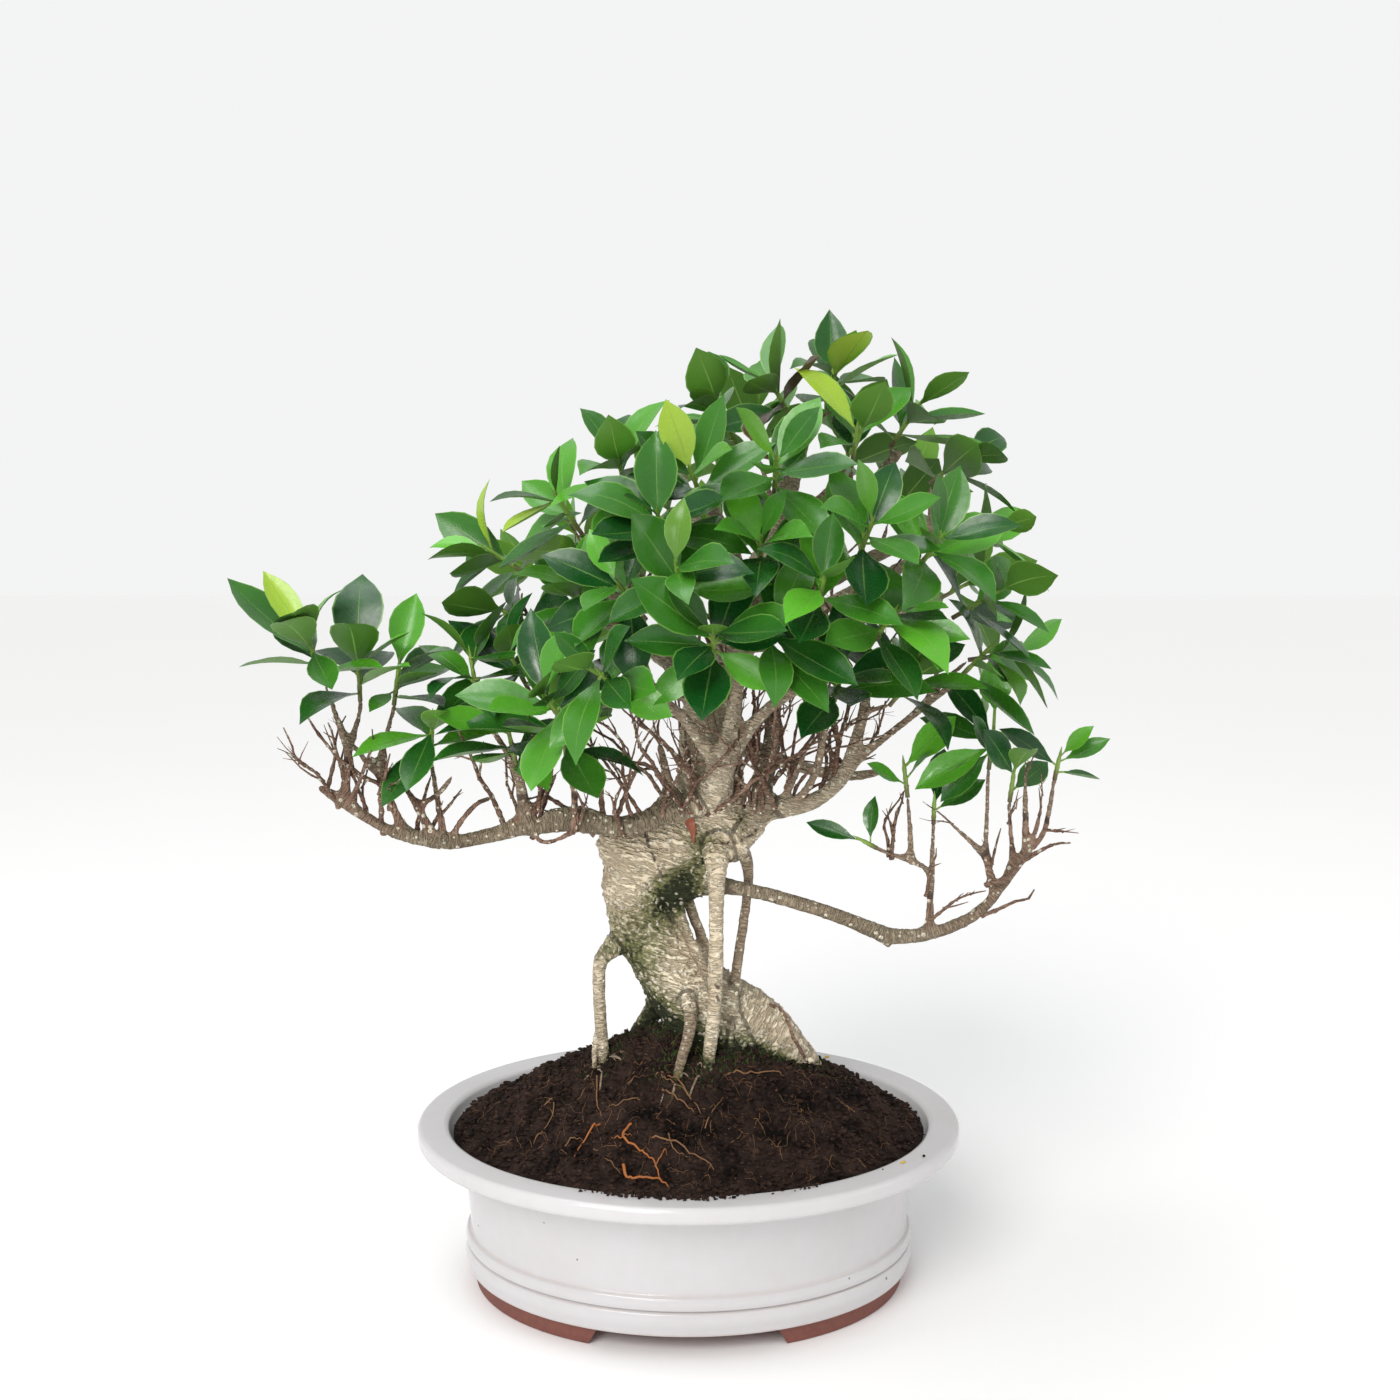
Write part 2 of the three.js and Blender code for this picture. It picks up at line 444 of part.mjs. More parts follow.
// Thick limbs are rounder: the count follows the mean radius.
function sidesFor(radii) {
  const mean = radii.reduce((sum, radius) => sum + radius, 0) / radii.length;
  if (mean > 15) return 10;
  if (mean > 8) return 8;
  if (mean > 4.6) return 6;
  if (mean > 3.4) return 5;
  return mean > 2.7 ? 4 : 3;
}

// A closed tube along a curve with a radius at each ring. round makes its far end a low dome; extra
// widens and lengthens it on all sides.
function makeTube(curve, radii, round, extra = 0, sides = sidesFor(radii)) {
  const last = radii.length - 1;
  const geometry = new THREE.TubeGeometry(curve, last, 1, sides, false);
  const position = geometry.getAttribute("position");
  const corners = Array.from(geometry.getIndex().array);
  const values = [];
  const row = sides + 1;
  const first = curve.getPointAt(0).addScaledVector(curve.getTangentAt(0), -extra);
  const end = curve.getPointAt(1).addScaledVector(curve.getTangentAt(1), extra);
  for (let i = 0; i <= last; i++) {
    const middle = curve.getPointAt(i / last);
    const moved = i === 0 ? first : i === last ? end : middle;
    for (let j = 0; j < row; j++) {
      const corner = new THREE.Vector3().fromBufferAttribute(position, i * row + j);
      corner.sub(middle).multiplyScalar(radii[i] + extra).add(moved);
      values.push(...corner.toArray());
    }
  }
  const tip = end.clone().addScaledVector(curve.getTangentAt(1), radii[last] * round);
  values.push(...first.toArray(), ...tip.toArray());
  const start = (last + 1) * row;
  for (let j = 0; j < sides; j++) {
    corners.push(start, j, j + 1);
    corners.push(start + 1, last * row + j + 1, last * row + j);
  }
  const closed = new THREE.BufferGeometry();
  closed.setAttribute("position", new THREE.Float32BufferAttribute(values, 3));
  closed.setIndex(corners);
  return solidFrom(closed);
}

function makeLimb(stations, extra = 0) {
  return makeTube(new StationCurve(stations.map(vector)), stations.map((s) => s[3]), 0.4, extra);
}

function makeStem(stations) {
  return makeTube(new StationCurve(stations.map(vector)), stations.map((s) => s[3]), 0, 0, STEM_SIDES);
}

// A direction from a clock angle seen from the front and a tilt towards the front.
function direction([clock, tilt]) {
  const [c, t] = [radians(clock), radians(tilt)];
  return new THREE.Vector3(Math.sin(c) * Math.cos(t), -Math.sin(t), Math.cos(c) * Math.cos(t));
}

// Points along all limbs that a twig can grow from, and the limbs' own ends.
function limbPoints() {
  const found = [];
  for (const stations of Object.values({ trunk: ROOTS.trunk, ...LIMBS })) {
    for (let i = 1; i < stations.length; i++) {
      const [from, to] = [vector(stations[i - 1]), vector(stations[i])];
      const along = to.clone().sub(from).normalize();
      for (const share of [0.25, 0.75, 1]) {
        const place = from.clone().lerp(to, share);
        const radius = THREE.MathUtils.lerp(stations[i - 1][3], stations[i][3], share);
        found.push({ place, along, radius, end: i === stations.length - 1 && share === 1 });
      }
    }
  }
  return found;
}

// The limb point that lies best behind a shoot: a bare limb end close by, or else a thicker place further down.
function twigStart(shoot, candidates) {
  const base = vector(shoot.at);
  const axis = direction(shoot.lean);
  let best = null;
  for (const candidate of candidates) {
    const reach = base.clone().sub(candidate.place);
    const distance = reach.length();
    if (candidate.end && distance < 9) return { ...candidate, distance };
    if (candidate.radius < 2.2 || distance < 14) continue;
    reach.normalize();
    const turned = 1 - reach.dot(axis) + 0.6 * (1 - reach.dot(candidate.along));
    const cost = distance * (1 + 0.8 * turned);
    if (!best || cost < best.cost) best = { ...candidate, cost, distance };
  }
  return best;
}

// The twig that carries a shoot ends in line with the shoot's stem.
function twigOf(shoot, candidates) {
  const begin = twigStart(shoot, candidates);
  const axis = direction(shoot.lean);
  const base = vector(shoot.at);
  if (begin.distance < 9) base.copy(begin.place).addScaledVector(axis, 6).addScaledVector(begin.along, 2);
  const bend = begin.distance < 9 ? 2.5 : begin.distance * 0.33;
  const late = base.clone().addScaledVector(axis, -bend);
  const middle = begin.place.clone().addScaledVector(begin.along, bend);
  const curve = new TwigCurve(begin.place, middle, late, base);
  const thick = Math.min(2.9, begin.radius * 0.85);
  const count = begin.distance > 55 ? 4 : 3;
  const radii = Array.from({ length: count }, (_, i) =>
    THREE.MathUtils.lerp(thick, TWIG_TIP, i / (count - 1)),
  );
  const stations = radii.map((radius, i) => [...curve.getPoint(i / (count - 1)).toArray(), radius]);
  return { base, stations, solid: makeTube(curve, radii, 0) };
}

// Distances, to keep leaves clear of wood and of each other.

const scratch = Array.from({ length: 6 }, () => new THREE.Vector3());

function segmentToSegment(p, q, a, b) {
  const u = scratch[0].subVectors(q, p);
  const v = scratch[1].subVectors(b, a);
  const w = scratch[2].subVectors(p, a);
  const [uu, uv, vv, uw, vw] = [u.dot(u), u.dot(v), v.dot(v), u.dot(w), v.dot(w)];
  const det = uu * vv - uv * uv;
  let s = det > 1e-9 ? THREE.MathUtils.clamp((uv * vw - vv * uw) / det, 0, 1) : 0;
  const t = THREE.MathUtils.clamp((s * uv + vw) / vv, 0, 1);
  s = THREE.MathUtils.clamp((t * uv - uw) / uu, 0, 1);
  const near = scratch[3].copy(p).addScaledVector(u, s);
  return scratch[4].copy(a).addScaledVector(v, t).distanceTo(near);
}

const surface = new THREE.Triangle();
const nearest = new THREE.Vector3();
const ray = new THREE.Ray();
const struck = new THREE.Vector3();

function segmentToTriangle(p, q, [a, b, c]) {
  surface.set(a, b, c);
  const length = q.distanceTo(p);
  ray.origin.copy(p);
  ray.direction.subVectors(q, p).divideScalar(length);
  const hit = ray.intersectTriangle(a, b, c, false, struck);
  if (hit && struck.distanceTo(p) <= length) return 0;
  surface.closestPointToPoint(p, nearest);
  let least = nearest.distanceTo(p);
  surface.closestPointToPoint(q, nearest);
  least = Math.min(least, nearest.distanceTo(q));
  for (const [from, to] of [[a, b], [b, c], [c, a]]) {
    least = Math.min(least, segmentToSegment(p, q, from, to));
  }
  return least;
}

function sheetDistance(one, other, enough) {
  let least = Infinity;
  for (const [first, second] of [[one, other], [other, one]]) {
    for (const [p, q] of first.edges) {
      for (const face of second.faces) {
        least = Math.min(least, segmentToTriangle(p, q, face));
        if (least < enough) return least;
      }
    }
  }
  return least;
}

function boundingBall(points) {
  const ball = new THREE.Sphere();
  ball.setFromPoints(points);
  return ball;
}

// Leaves.

// Along the blade: [share of its length, share of its half width, share of KEEL]. The first is the
// petiole's end. The last has no keel of its own: from the second one the keel runs to the tip.
const LEAF_STATIONS = [[0, 0.12, 0.75], [0.34, 0.96, 1], [0.7, 0.8, 0]];

// A leaf's corners. It leaves its place in the given direction, its upper side turned to the stem's tip,
// and bends back.
function leafShape({ from, along, axis, length, width, bend }) {
  const up = axis.clone().addScaledVector(along, -axis.dot(along)).normalize();
  const side = new THREE.Vector3().crossVectors(along, up);
  const middle = (reach) => {
    const share = reach / length;
    return from
      .clone()
      .addScaledVector(along, reach * (1 - 0.05 * bend * share))
      .addScaledVector(up, length * 0.2 * (0.25 * share - bend * share * share));
  };
  const blade = length - PETIOLE;
  const half = (LEAF_WIDTH * blade * width) / 2;
  const sunk = from.clone().addScaledVector(along, -ROOT_DEPTH);
  const rings = LEAF_STATIONS.map(([share, wide, deep]) => {
    const centre = middle(PETIOLE + blade * share);
    const left = centre.clone().addScaledVector(side, -half * wide);
    const right = centre.clone().addScaledVector(side, half * wide);
    const keel = centre.clone().addScaledVector(up, -KEEL * deep);
    return [left, right, keel];
  });
  const tip = middle(length);
  const root = from.clone().addScaledVector(along, 2.2);
  const faces = [[root, rings[0][0], rings[0][1]], [rings[2][0], rings[2][1], tip]];
  for (const i of [0, 1]) {
    faces.push([rings[i][0], rings[i][1], rings[i + 1][0]]);
    faces.push([rings[i][1], rings[i + 1][1], rings[i + 1][0]]);
  }
  const edges = [[root, rings[0][0]], [root, rings[0][1]], [rings[2][0], tip], [rings[2][1], tip]];
  for (const i of [0, 1]) {
    edges.push([rings[i][0], rings[i + 1][0]], [rings[i][1], rings[i + 1][1]]);
    edges.push([rings[i][0], rings[i][1]]);
  }
  edges.push([rings[2][0], rings[2][1]]);
  const ball = boundingBall([root, tip, ...rings.flat()]);
  return { sunk, rings, tip, faces, edges, ball };
}

// A three-sided bar drawn out into the leaf: two edges are the blade's margins, the third its keel.
function makeLeaf({ sunk, rings, tip }) {
  const geometry = new THREE.CylinderGeometry(1, 1, 1, 3, rings.length + 1, true);
  const position = geometry.getAttribute("position");
  const keel = (i) => rings[Math.min(i, 1)][2];
  const rows = [[sunk, sunk, sunk], ...rings.map(([l, r], i) => [r, l, keel(i)]), [tip, tip, tip]];
  for (let i = 0; i < position.count; i++) {
    const corner = rows[Math.floor(i / 4)][(i % 4) % 3];
    position.setXYZ(i, corner.x, corner.y, corner.z);
  }
  return solidFrom(geometry);
}

// Shoots.

const random = randomFrom(SEED);
const between = (low, high) => low + (high - low) * random();

// The green stem from just off its twig, with the pointed bud at its tip.
function stemOf(shoot, twig) {
  const axis = direction(shoot.lean);
  const base = twig.base.clone().addScaledVector(axis, CLEARANCE);
  const place = (reach) => base.clone().addScaledVector(axis, reach);
  const stations = [
    [...place(0).toArray(), STEM_RADIUS],
    [...place(shoot.stem).toArray(), STEM_RADIUS * 0.8],
    [...place(shoot.stem + 7).toArray(), 0.45],
  ];
  return { axis, base, stations };
}

// Where the rule would grow a leaf: number i of count, with a try that turns and shortens it.
function ruleLeaf(stem, shoot, i, count, attempt) {
  const share = count > 1 ? i / (count - 1) : 1;
  const swing = ((attempt % 2 ? 1 : -1) * Math.ceil(attempt / 2) * 13) % 90;
  const turn = radians(shoot.phase + i * GOLDEN_ANGLE + swing);
  const spread = radians(shoot.spreads[i] + (attempt % 3) * 7 - 7);
  const across = new THREE.Vector3(1, 0, 0).cross(stem.axis);
  if (across.length() < 0.2) across.set(0, 1, 0).cross(stem.axis);
  across.normalize();
  const other = new THREE.Vector3().crossVectors(stem.axis, across);
  const out = across.multiplyScalar(Math.cos(turn)).addScaledVector(other, Math.sin(turn));
  const along = stem.axis.clone().multiplyScalar(Math.cos(spread));
  along.addScaledVector(out, Math.sin(spread)).normalize();
  along.z += 0.06;
  along.normalize();
  const from = stem.base.clone().addScaledVector(stem.axis, shoot.stem * (0.12 + 0.85 * share));
  const length = shoot.lengths[i] * (1 - 0.035 * Math.floor(attempt / 3));
  return { from, along, axis: stem.axis, length, width: shoot.widths[i], bend: shoot.bends[i] };
}

function placedLeaf(stem, shoot, i, attempt) {
  const [clock, tilt, length, width, turned = 0] = shoot.placed[i];
  const swing = (attempt % 2 ? 1 : -1) * Math.ceil(attempt / 2);
  const along = direction([clock + swing * 4, tilt + ((attempt * 7) % 15) - (attempt ? 7 : 0)]);
  const share = shoot.placed.length > 1 ? i / (shoot.placed.length - 1) : 0.7;
  const from = stem.base.clone().addScaledVector(stem.axis, shoot.stem * (0.32 + 0.6 * share));
  const axis = stem.axis.clone();
  axis.y -= turned;
  axis.normalize();
  if (Math.abs(axis.dot(along)) > 0.97) axis.y += 0.5;
  axis.normalize();
  return { from, along, axis, length, width, bend: 0.45 };
}

// Whether a leaf keeps its distance from all wood, stems and leaves placed so far.
function isClear(leaf, own, bars, leaves) {
  for (const bar of bars) {
    if (bar.owner === own) continue;
    const reach = leaf.ball.radius + bar.ball.radius;
    if (leaf.ball.center.distanceTo(bar.ball.center) > reach) continue;
    const needed = bar.radius + LEAF_GAP;
    for (const face of leaf.faces) {
      if (segmentToTriangle(bar.from, bar.to, face) < needed) return false;
    }
  }
  for (const other of leaves) {
    const reach = leaf.ball.radius + other.ball.radius;
    if (leaf.ball.center.distanceTo(other.ball.center) > reach) continue;
    const same = other.owner === own;
    const one = same ? withoutPetiole(leaf) : leaf;
    const two = same ? withoutPetiole(other) : other;
    const gap = same ? OWN_LEAF_GAP : LEAF_GAP;
    if (sheetDistance(one, two, gap) < gap) return false;
  }
  return true;
}

function withoutPetiole(leaf) {
  return { faces: leaf.faces.slice(1), edges: leaf.edges.slice(2) };
}

function barsFrom(stations, owner) {
  const bars = [];
  for (let i = 1; i < stations.length; i++) {
    const [from, to] = [vector(stations[i - 1]), vector(stations[i])];
    const radius = Math.max(stations[i - 1][3], stations[i][3]);
    const ball = new THREE.Sphere(from.clone().lerp(to, 0.5), from.distanceTo(to) / 2 + radius + LEAF_GAP);
    bars.push({ from, to, radius, owner, ball });
  }
  return bars;
}

// The plant.

const candidates = limbPoints();
const twigs = SHOOTS.map((shoot) => twigOf(shoot, candidates));
const woodStations = [...Object.values(ROOTS), ...Object.values(LIMBS)];
const wood = fuse(
  [
    ...woodStations.map((stations) => makeLimb(stations)),
    ...twigs.map((twig) => twig.solid),
  ],
  WOOD_TOLERANCE,
);

const stems = SHOOTS.map((shoot, k) => stemOf(shoot, twigs[k]));
const barred = [...woodStations, ...twigs.map((twig) => twig.stations)];
const bars = barred.flatMap((stations) => barsFrom(stations, "wood"));
stems.forEach((stem, k) => bars.push(...barsFrom(stem.stations, k)));
const leaves = [];

for (const shoot of SHOOTS) {
  const count = shoot.leaves;
  shoot.phase = between(0, 360);
  shoot.lengths = [];
  shoot.widths = [];
  shoot.spreads = [];
  shoot.bends = [];
  for (let i = 0; i < count; i++) {
    const share = count > 1 ? i / (count - 1) : 1;
    shoot.lengths.push(LEAF_LENGTH * (1 - 0.25 * share ** 3) * between(0.86, 1.08));
    shoot.widths.push(between(0.9, 1.12));
    shoot.spreads.push(THREE.MathUtils.lerp(82, 34, share) + between(-8, 8));
    shoot.bends.push(between(0.3, 1));
  }
}

const grow = (k, shape, tries) => {
  for (let attempt = 0; attempt < tries; attempt++) {
    const leaf = leafShape(shape(attempt));
    if (!isClear(leaf, k, bars, leaves)) continue;
    leaves.push({ ...leaf, owner: k });
    return;
  }
};
SHOOTS.forEach((shoot, k) => {
  shoot.placed.forEach((_, i) => grow(k, (attempt) => placedLeaf(stems[k], shoot, i, attempt), 9));
});
SHOOTS.forEach((shoot, k) => {
  for (let i = 0; i < shoot.leaves; i++) {
    grow(k, (attempt) => ruleLeaf(stems[k], shoot, i, shoot.leaves, attempt), 14);
  }
});

// One solid from several, without the slivers that their crossings leave.
function fuse(solids, tolerance) {
  return wasm.Manifold.union(solids).asOriginal().simplify(tolerance);
}

const plant = new THREE.Group();
plant.name = "chinese_banyan_bonsai";
plant.position.set(POT_CENTRE[0], POT_CENTRE[1], 0);

let soil = makeSoil();
for (const stations of Object.values(ROOTS)) {
  soil = soil.subtract(makeLimb(stations, CLEARANCE));
}
for (const side of [-1, 1]) soil = soil.subtract(drainPocket(side * DRAIN_X));

plant.add(meshFrom(makePot(), "pot", WHITE_GLAZE, 0.3));
plant.add(meshFrom(makeDrainMesh(-DRAIN_X), "mesh_left", MESH_BLACK, 0.7));
plant.add(meshFrom(makeDrainMesh(DRAIN_X), "mesh_right", MESH_BLACK, 0.7));
plant.add(meshFrom(soil, "soil", DARK_SOIL, 0.95));
plant.add(meshFrom(wood, "wood", BARK, 0.85));
SHOOTS.forEach((_, k) => {
  const blades = leaves.filter((leaf) => leaf.owner === k).map(makeLeaf);
  const shoot = fuse([makeStem(stems[k].stations), ...blades], LEAF_TOLERANCE);
  plant.add(meshFrom(shoot, `shoot_${String(k + 1).padStart(2, "0")}`, GREEN, 0.4));
});

export default plant;
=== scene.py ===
"""A Chinese banyan bonsai in an oval white pot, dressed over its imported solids.

Every piece lies in the row frame, in metres. Sizes that a maker would read off a drawing are kept in
millimetres from the pot's centre, and point() turns them into the row frame.
"""

from __future__ import annotations

import logging
import math
import random
from contextlib import contextmanager
from dataclasses import dataclass, field
from enum import Enum, IntEnum
from typing import Callable, Iterator, Sequence

import bmesh
import bpy
import numpy as np
from mathutils import Matrix, Vector, noise
from mathutils.bvhtree import BVHTree


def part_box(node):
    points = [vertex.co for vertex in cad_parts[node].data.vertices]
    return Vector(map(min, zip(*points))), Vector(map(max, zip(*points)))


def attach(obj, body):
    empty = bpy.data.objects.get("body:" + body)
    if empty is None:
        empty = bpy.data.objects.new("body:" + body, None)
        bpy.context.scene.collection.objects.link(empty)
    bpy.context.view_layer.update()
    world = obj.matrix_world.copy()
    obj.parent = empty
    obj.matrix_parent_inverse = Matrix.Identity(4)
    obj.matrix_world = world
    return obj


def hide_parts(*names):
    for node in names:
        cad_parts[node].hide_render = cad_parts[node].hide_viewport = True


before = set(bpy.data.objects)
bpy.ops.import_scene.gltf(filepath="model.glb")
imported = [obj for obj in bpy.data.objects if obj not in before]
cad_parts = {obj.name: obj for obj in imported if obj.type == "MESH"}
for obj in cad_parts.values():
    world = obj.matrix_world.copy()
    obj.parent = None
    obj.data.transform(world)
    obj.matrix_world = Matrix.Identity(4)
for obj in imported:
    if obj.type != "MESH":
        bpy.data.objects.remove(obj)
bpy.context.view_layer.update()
log = logging.getLogger("bonsai")

MM = 0.001
POT_CENTRE = Vector((0.010, -0.003, 0.0))
Colour = tuple[float, float, float]
Rows = tuple[tuple[float, ...], ...]
Face = tuple[int, ...]
Strand = list[tuple[Vector, float]]
Socket = bpy.types.NodeSocket
Piece = bpy.types.Object


def point(x: float, y: float, z: float) -> Vector:
    """A place given in millimetres from the pot's centre, in the row frame."""
    return POT_CENTRE + Vector((x, y, z)) * MM


def select_only(piece: Piece) -> None:
    """Deselects everything and makes one object selected and active."""
    if bpy.context.object and bpy.context.object.mode != "OBJECT":
        bpy.ops.object.mode_set(mode="OBJECT")
    for other in list(bpy.context.selected_objects):
        other.select_set(False)
    piece.select_set(True)
    bpy.context.view_layer.objects.active = piece


@contextmanager
def editing(piece: Piece) -> Iterator[None]:
    """Edit mode on one object, with all of it selected."""
    select_only(piece)
    bpy.ops.object.mode_set(mode="EDIT")
    bpy.ops.mesh.select_all(action="SELECT")
    yield
    bpy.ops.object.mode_set(mode="OBJECT")


def pick_faces(piece: Piece, wanted: Callable[[Vector], bool]) -> None:
    """Selects, in edit mode, the faces whose middles pass a test."""
    bpy.ops.mesh.select_mode(type="FACE")
    bpy.ops.mesh.select_all(action="DESELECT")
    mesh = bmesh.from_edit_mesh(piece.data)
    for face in mesh.faces:
        if wanted(face.calc_center_median()):
            face.select_set(True)
    mesh.select_flush_mode()
    bmesh.update_edit_mesh(piece.data)


def face_outward() -> None:
    """Turns every face of the mesh in edit mode outward."""
    bpy.ops.mesh.select_all(action="SELECT")
    bpy.ops.mesh.normals_make_consistent(inside=False)


def merge_doubles(piece: Piece, within: float = 1e-6) -> None:
    """Merges an object's vertices that lie on each other."""
    with editing(piece):
        bpy.ops.mesh.remove_doubles(threshold=within)


def place_applied(piece: Piece) -> Piece:
    """Applies an object's place, turn and size to its mesh."""
    select_only(piece)
    bpy.ops.object.transform_apply(location=True, rotation=True, scale=True)
    return piece


def apply_modifier(piece: Piece, kind: str, **settings: object) -> None:
    """Adds a modifier with the given settings and applies it."""
    select_only(piece)
    modifier = piece.modifiers.new(kind.title(), kind)
    for name, value in settings.items():
        setattr(modifier, name, value)
    bpy.ops.object.modifier_apply(modifier=modifier.name)


def settle(piece: Piece, name: str) -> Piece:
    """Names a piece and applies its place, so that its object sits at the origin."""
    place_applied(piece)
    piece.name = name
    piece.data.name = name
    return piece


def smooth(piece: Piece, degrees: float = 180.0) -> None:
    """Shades a piece smooth, with edges sharper than an angle kept."""
    select_only(piece)
    if degrees >= 180:
        bpy.ops.object.shade_smooth()
    else:
        bpy.ops.object.shade_smooth_by_angle(angle=math.radians(degrees))


def join(pieces: Sequence[Piece]) -> Piece:
    """Joins objects into the first of them."""
    select_only(pieces[0])
    for piece in pieces[1:]:
        piece.select_set(True)
    bpy.ops.object.join()
    return pieces[0]


def linked(name: str, data: bpy.types.ID) -> Piece:
    """A new object in the scene with the given mesh, lamp or camera."""
    piece = bpy.data.objects.new(name, data)
    bpy.context.collection.objects.link(piece)
    return piece


def from_arrays(name: str, places: np.ndarray, faces: list[Face]) -> Piece:
    """A mesh object from vertex places, in metres, and the vertex numbers of each face."""
    mesh = bpy.data.meshes.new(name)
    mesh.from_pydata(places.tolist(), [], faces)
    mesh.validate()
    return linked(name, mesh)


def arrays_of(piece: Piece) -> tuple[np.ndarray, list[Face]]:
    """An object's vertex places, one row each, and the vertex numbers of each face."""
    data = piece.data
    places = np.empty(len(data.vertices) * 3)
    data.vertices.foreach_get("co", places)
    return places.reshape(-1, 3), [tuple(face.vertices) for face in data.polygons]


def taken(piece: Piece) -> tuple[np.ndarray, list[Face]]:
    """An object's vertices and faces, for copies; the object itself goes."""
    shape = arrays_of(piece)
    bpy.data.objects.remove(piece)
    return shape


def local_mm(places: np.ndarray) -> np.ndarray:
    """Places of the row frame in millimetres from the pot's centre."""
    return (places - np.array(POT_CENTRE)) / MM


def set_places(piece: Piece, places: np.ndarray) -> None:
    """Moves a mesh's vertices to new places."""
    piece.data.vertices.foreach_set("co", places.astype(np.float32).reshape(-1))
    piece.data.update()


def normals_of(piece: Piece) -> np.ndarray:
    """A mesh's vertex normals, one row each."""
    values = np.empty(len(piece.data.vertices) * 3, np.float32)
    piece.data.vertex_normals.foreach_get("vector", values)
    return values.reshape(-1, 3).astype(float)


def mark(piece: Piece, name: str, values: np.ndarray) -> None:
    """Gives each vertex a number that a material reads by this name."""
    attribute = piece.data.attributes.new(name, "FLOAT", "POINT")
    attribute.data.foreach_set("value", values.astype(np.float32))


def tree_of(*pieces: Piece) -> BVHTree:
    """A tree for finding places on one or more objects."""
    places, faces = [], []
    for piece in pieces:
        rows, sides = arrays_of(piece)
        faces += [tuple(corner + len(places) for corner in side) for side in sides]
        places += [Vector(row) for row in rows]
    return BVHTree.FromPolygons(places, faces)


@dataclass
class Copies:
    """Copies of modelled shapes, gathered to be one mesh, each with a tone."""

    places: list[np.ndarray] = field(default_factory=list)
    faces: list[Face] = field(default_factory=list)
    tones: list[float] = field(default_factory=list)

    def add(self, places: np.ndarray, faces: list[Face], tone: float) -> None:
        """Adds one copy whose vertices are already in their place."""
        first = len(self.tones)
        self.faces += [tuple(corner + first for corner in face) for face in faces]
        self.places.append(places)
        self.tones += [tone] * len(places)

    def piece(self, name: str) -> Piece:
        """All the copies as one object, marked with their tones."""
        made = from_arrays(name, np.vstack(self.places), self.faces)
        mark(made, "tone", np.array(self.tones))
        return made


def average(piece: Piece, values: np.ndarray, rounds: int) -> np.ndarray:
    """Vertex values blurred over the mesh's edges.

    Args:
        piece: The mesh object.
        values: One row for each vertex.
        rounds: How many times each vertex takes its neighbours' mean.

    Returns:
        The blurred values.
    """
    ends = np.empty(len(piece.data.edges) * 2, np.int32)
    piece.data.edges.foreach_get("vertices", ends)
    a, b = ends.reshape(-1, 2).T
    count = np.bincount(a, minlength=len(values)) + np.bincount(b, minlength=len(values))
    flat = values.reshape(len(values), -1).astype(float)
    for _ in range(rounds):
        total = np.zeros_like(flat)
        for column in range(flat.shape[1]):
            total[:, column] = np.bincount(a, flat[b, column], len(flat))
            total[:, column] += np.bincount(b, flat[a, column], len(flat))
        flat = (flat + total) / (1 + count)[:, None]
    return flat.reshape(values.shape)


def tubes(name: str, paths: Sequence[Strand], sides: int) -> Piece:
    """Round strands along smooth paths, as one mesh.

    Args:
        name: The piece's name.
        paths: For each strand its points and radii, in metres.
        sides: Faces round a strand; an even number.

    Returns:
        The mesh object, with closed ends.
    """
    bpy.ops.curve.primitive_nurbs_path_add(location=(0, 0, 0))
    curve = bpy.context.object
    data = curve.data
    data.splines.clear()
    data.dimensions = "3D"
    data.bevel_mode = "ROUND"
    data.bevel_depth = 1.0
    data.bevel_resolution = max(0, sides // 2 - 2)
    data.use_fill_caps = True
    for path in paths:
        strand = data.splines.new("POLY")
        strand.points.add(len(path) - 1)
        for place, (middle, radius) in zip(strand.points, path):
            place.co = (*middle, 1.0)
            place.radius = radius
    select_only(curve)
    bpy.ops.object.convert(target="MESH")
    piece = bpy.context.object
    with editing(piece):
        bpy.ops.mesh.remove_doubles(threshold=1e-6)
        face_outward()
    smooth(piece, 60)
    return settle(piece, name)


def smooth_path(points: Sequence[Sequence[float]], steps: int) -> list[np.ndarray]:
    """Points on a soft curve through the given ones, each a row of any length."""
    rows = [np.array(row, float) for row in points]
    rows = [2 * rows[0] - rows[1], *rows, 2 * rows[-1] - rows[-2]]
    found = []
    for before, start, end, after in zip(rows, rows[1:], rows[2:], rows[3:]):
        for share in np.linspace(0, 1, steps, endpoint=False):
            line = 2 * start + (end - before) * share
            line += (2 * before - 5 * start + 4 * end - after) * share**2
            line += (3 * start - before - 3 * end + after) * share**3
            found.append(line / 2)
    return [*found, rows[-2]]


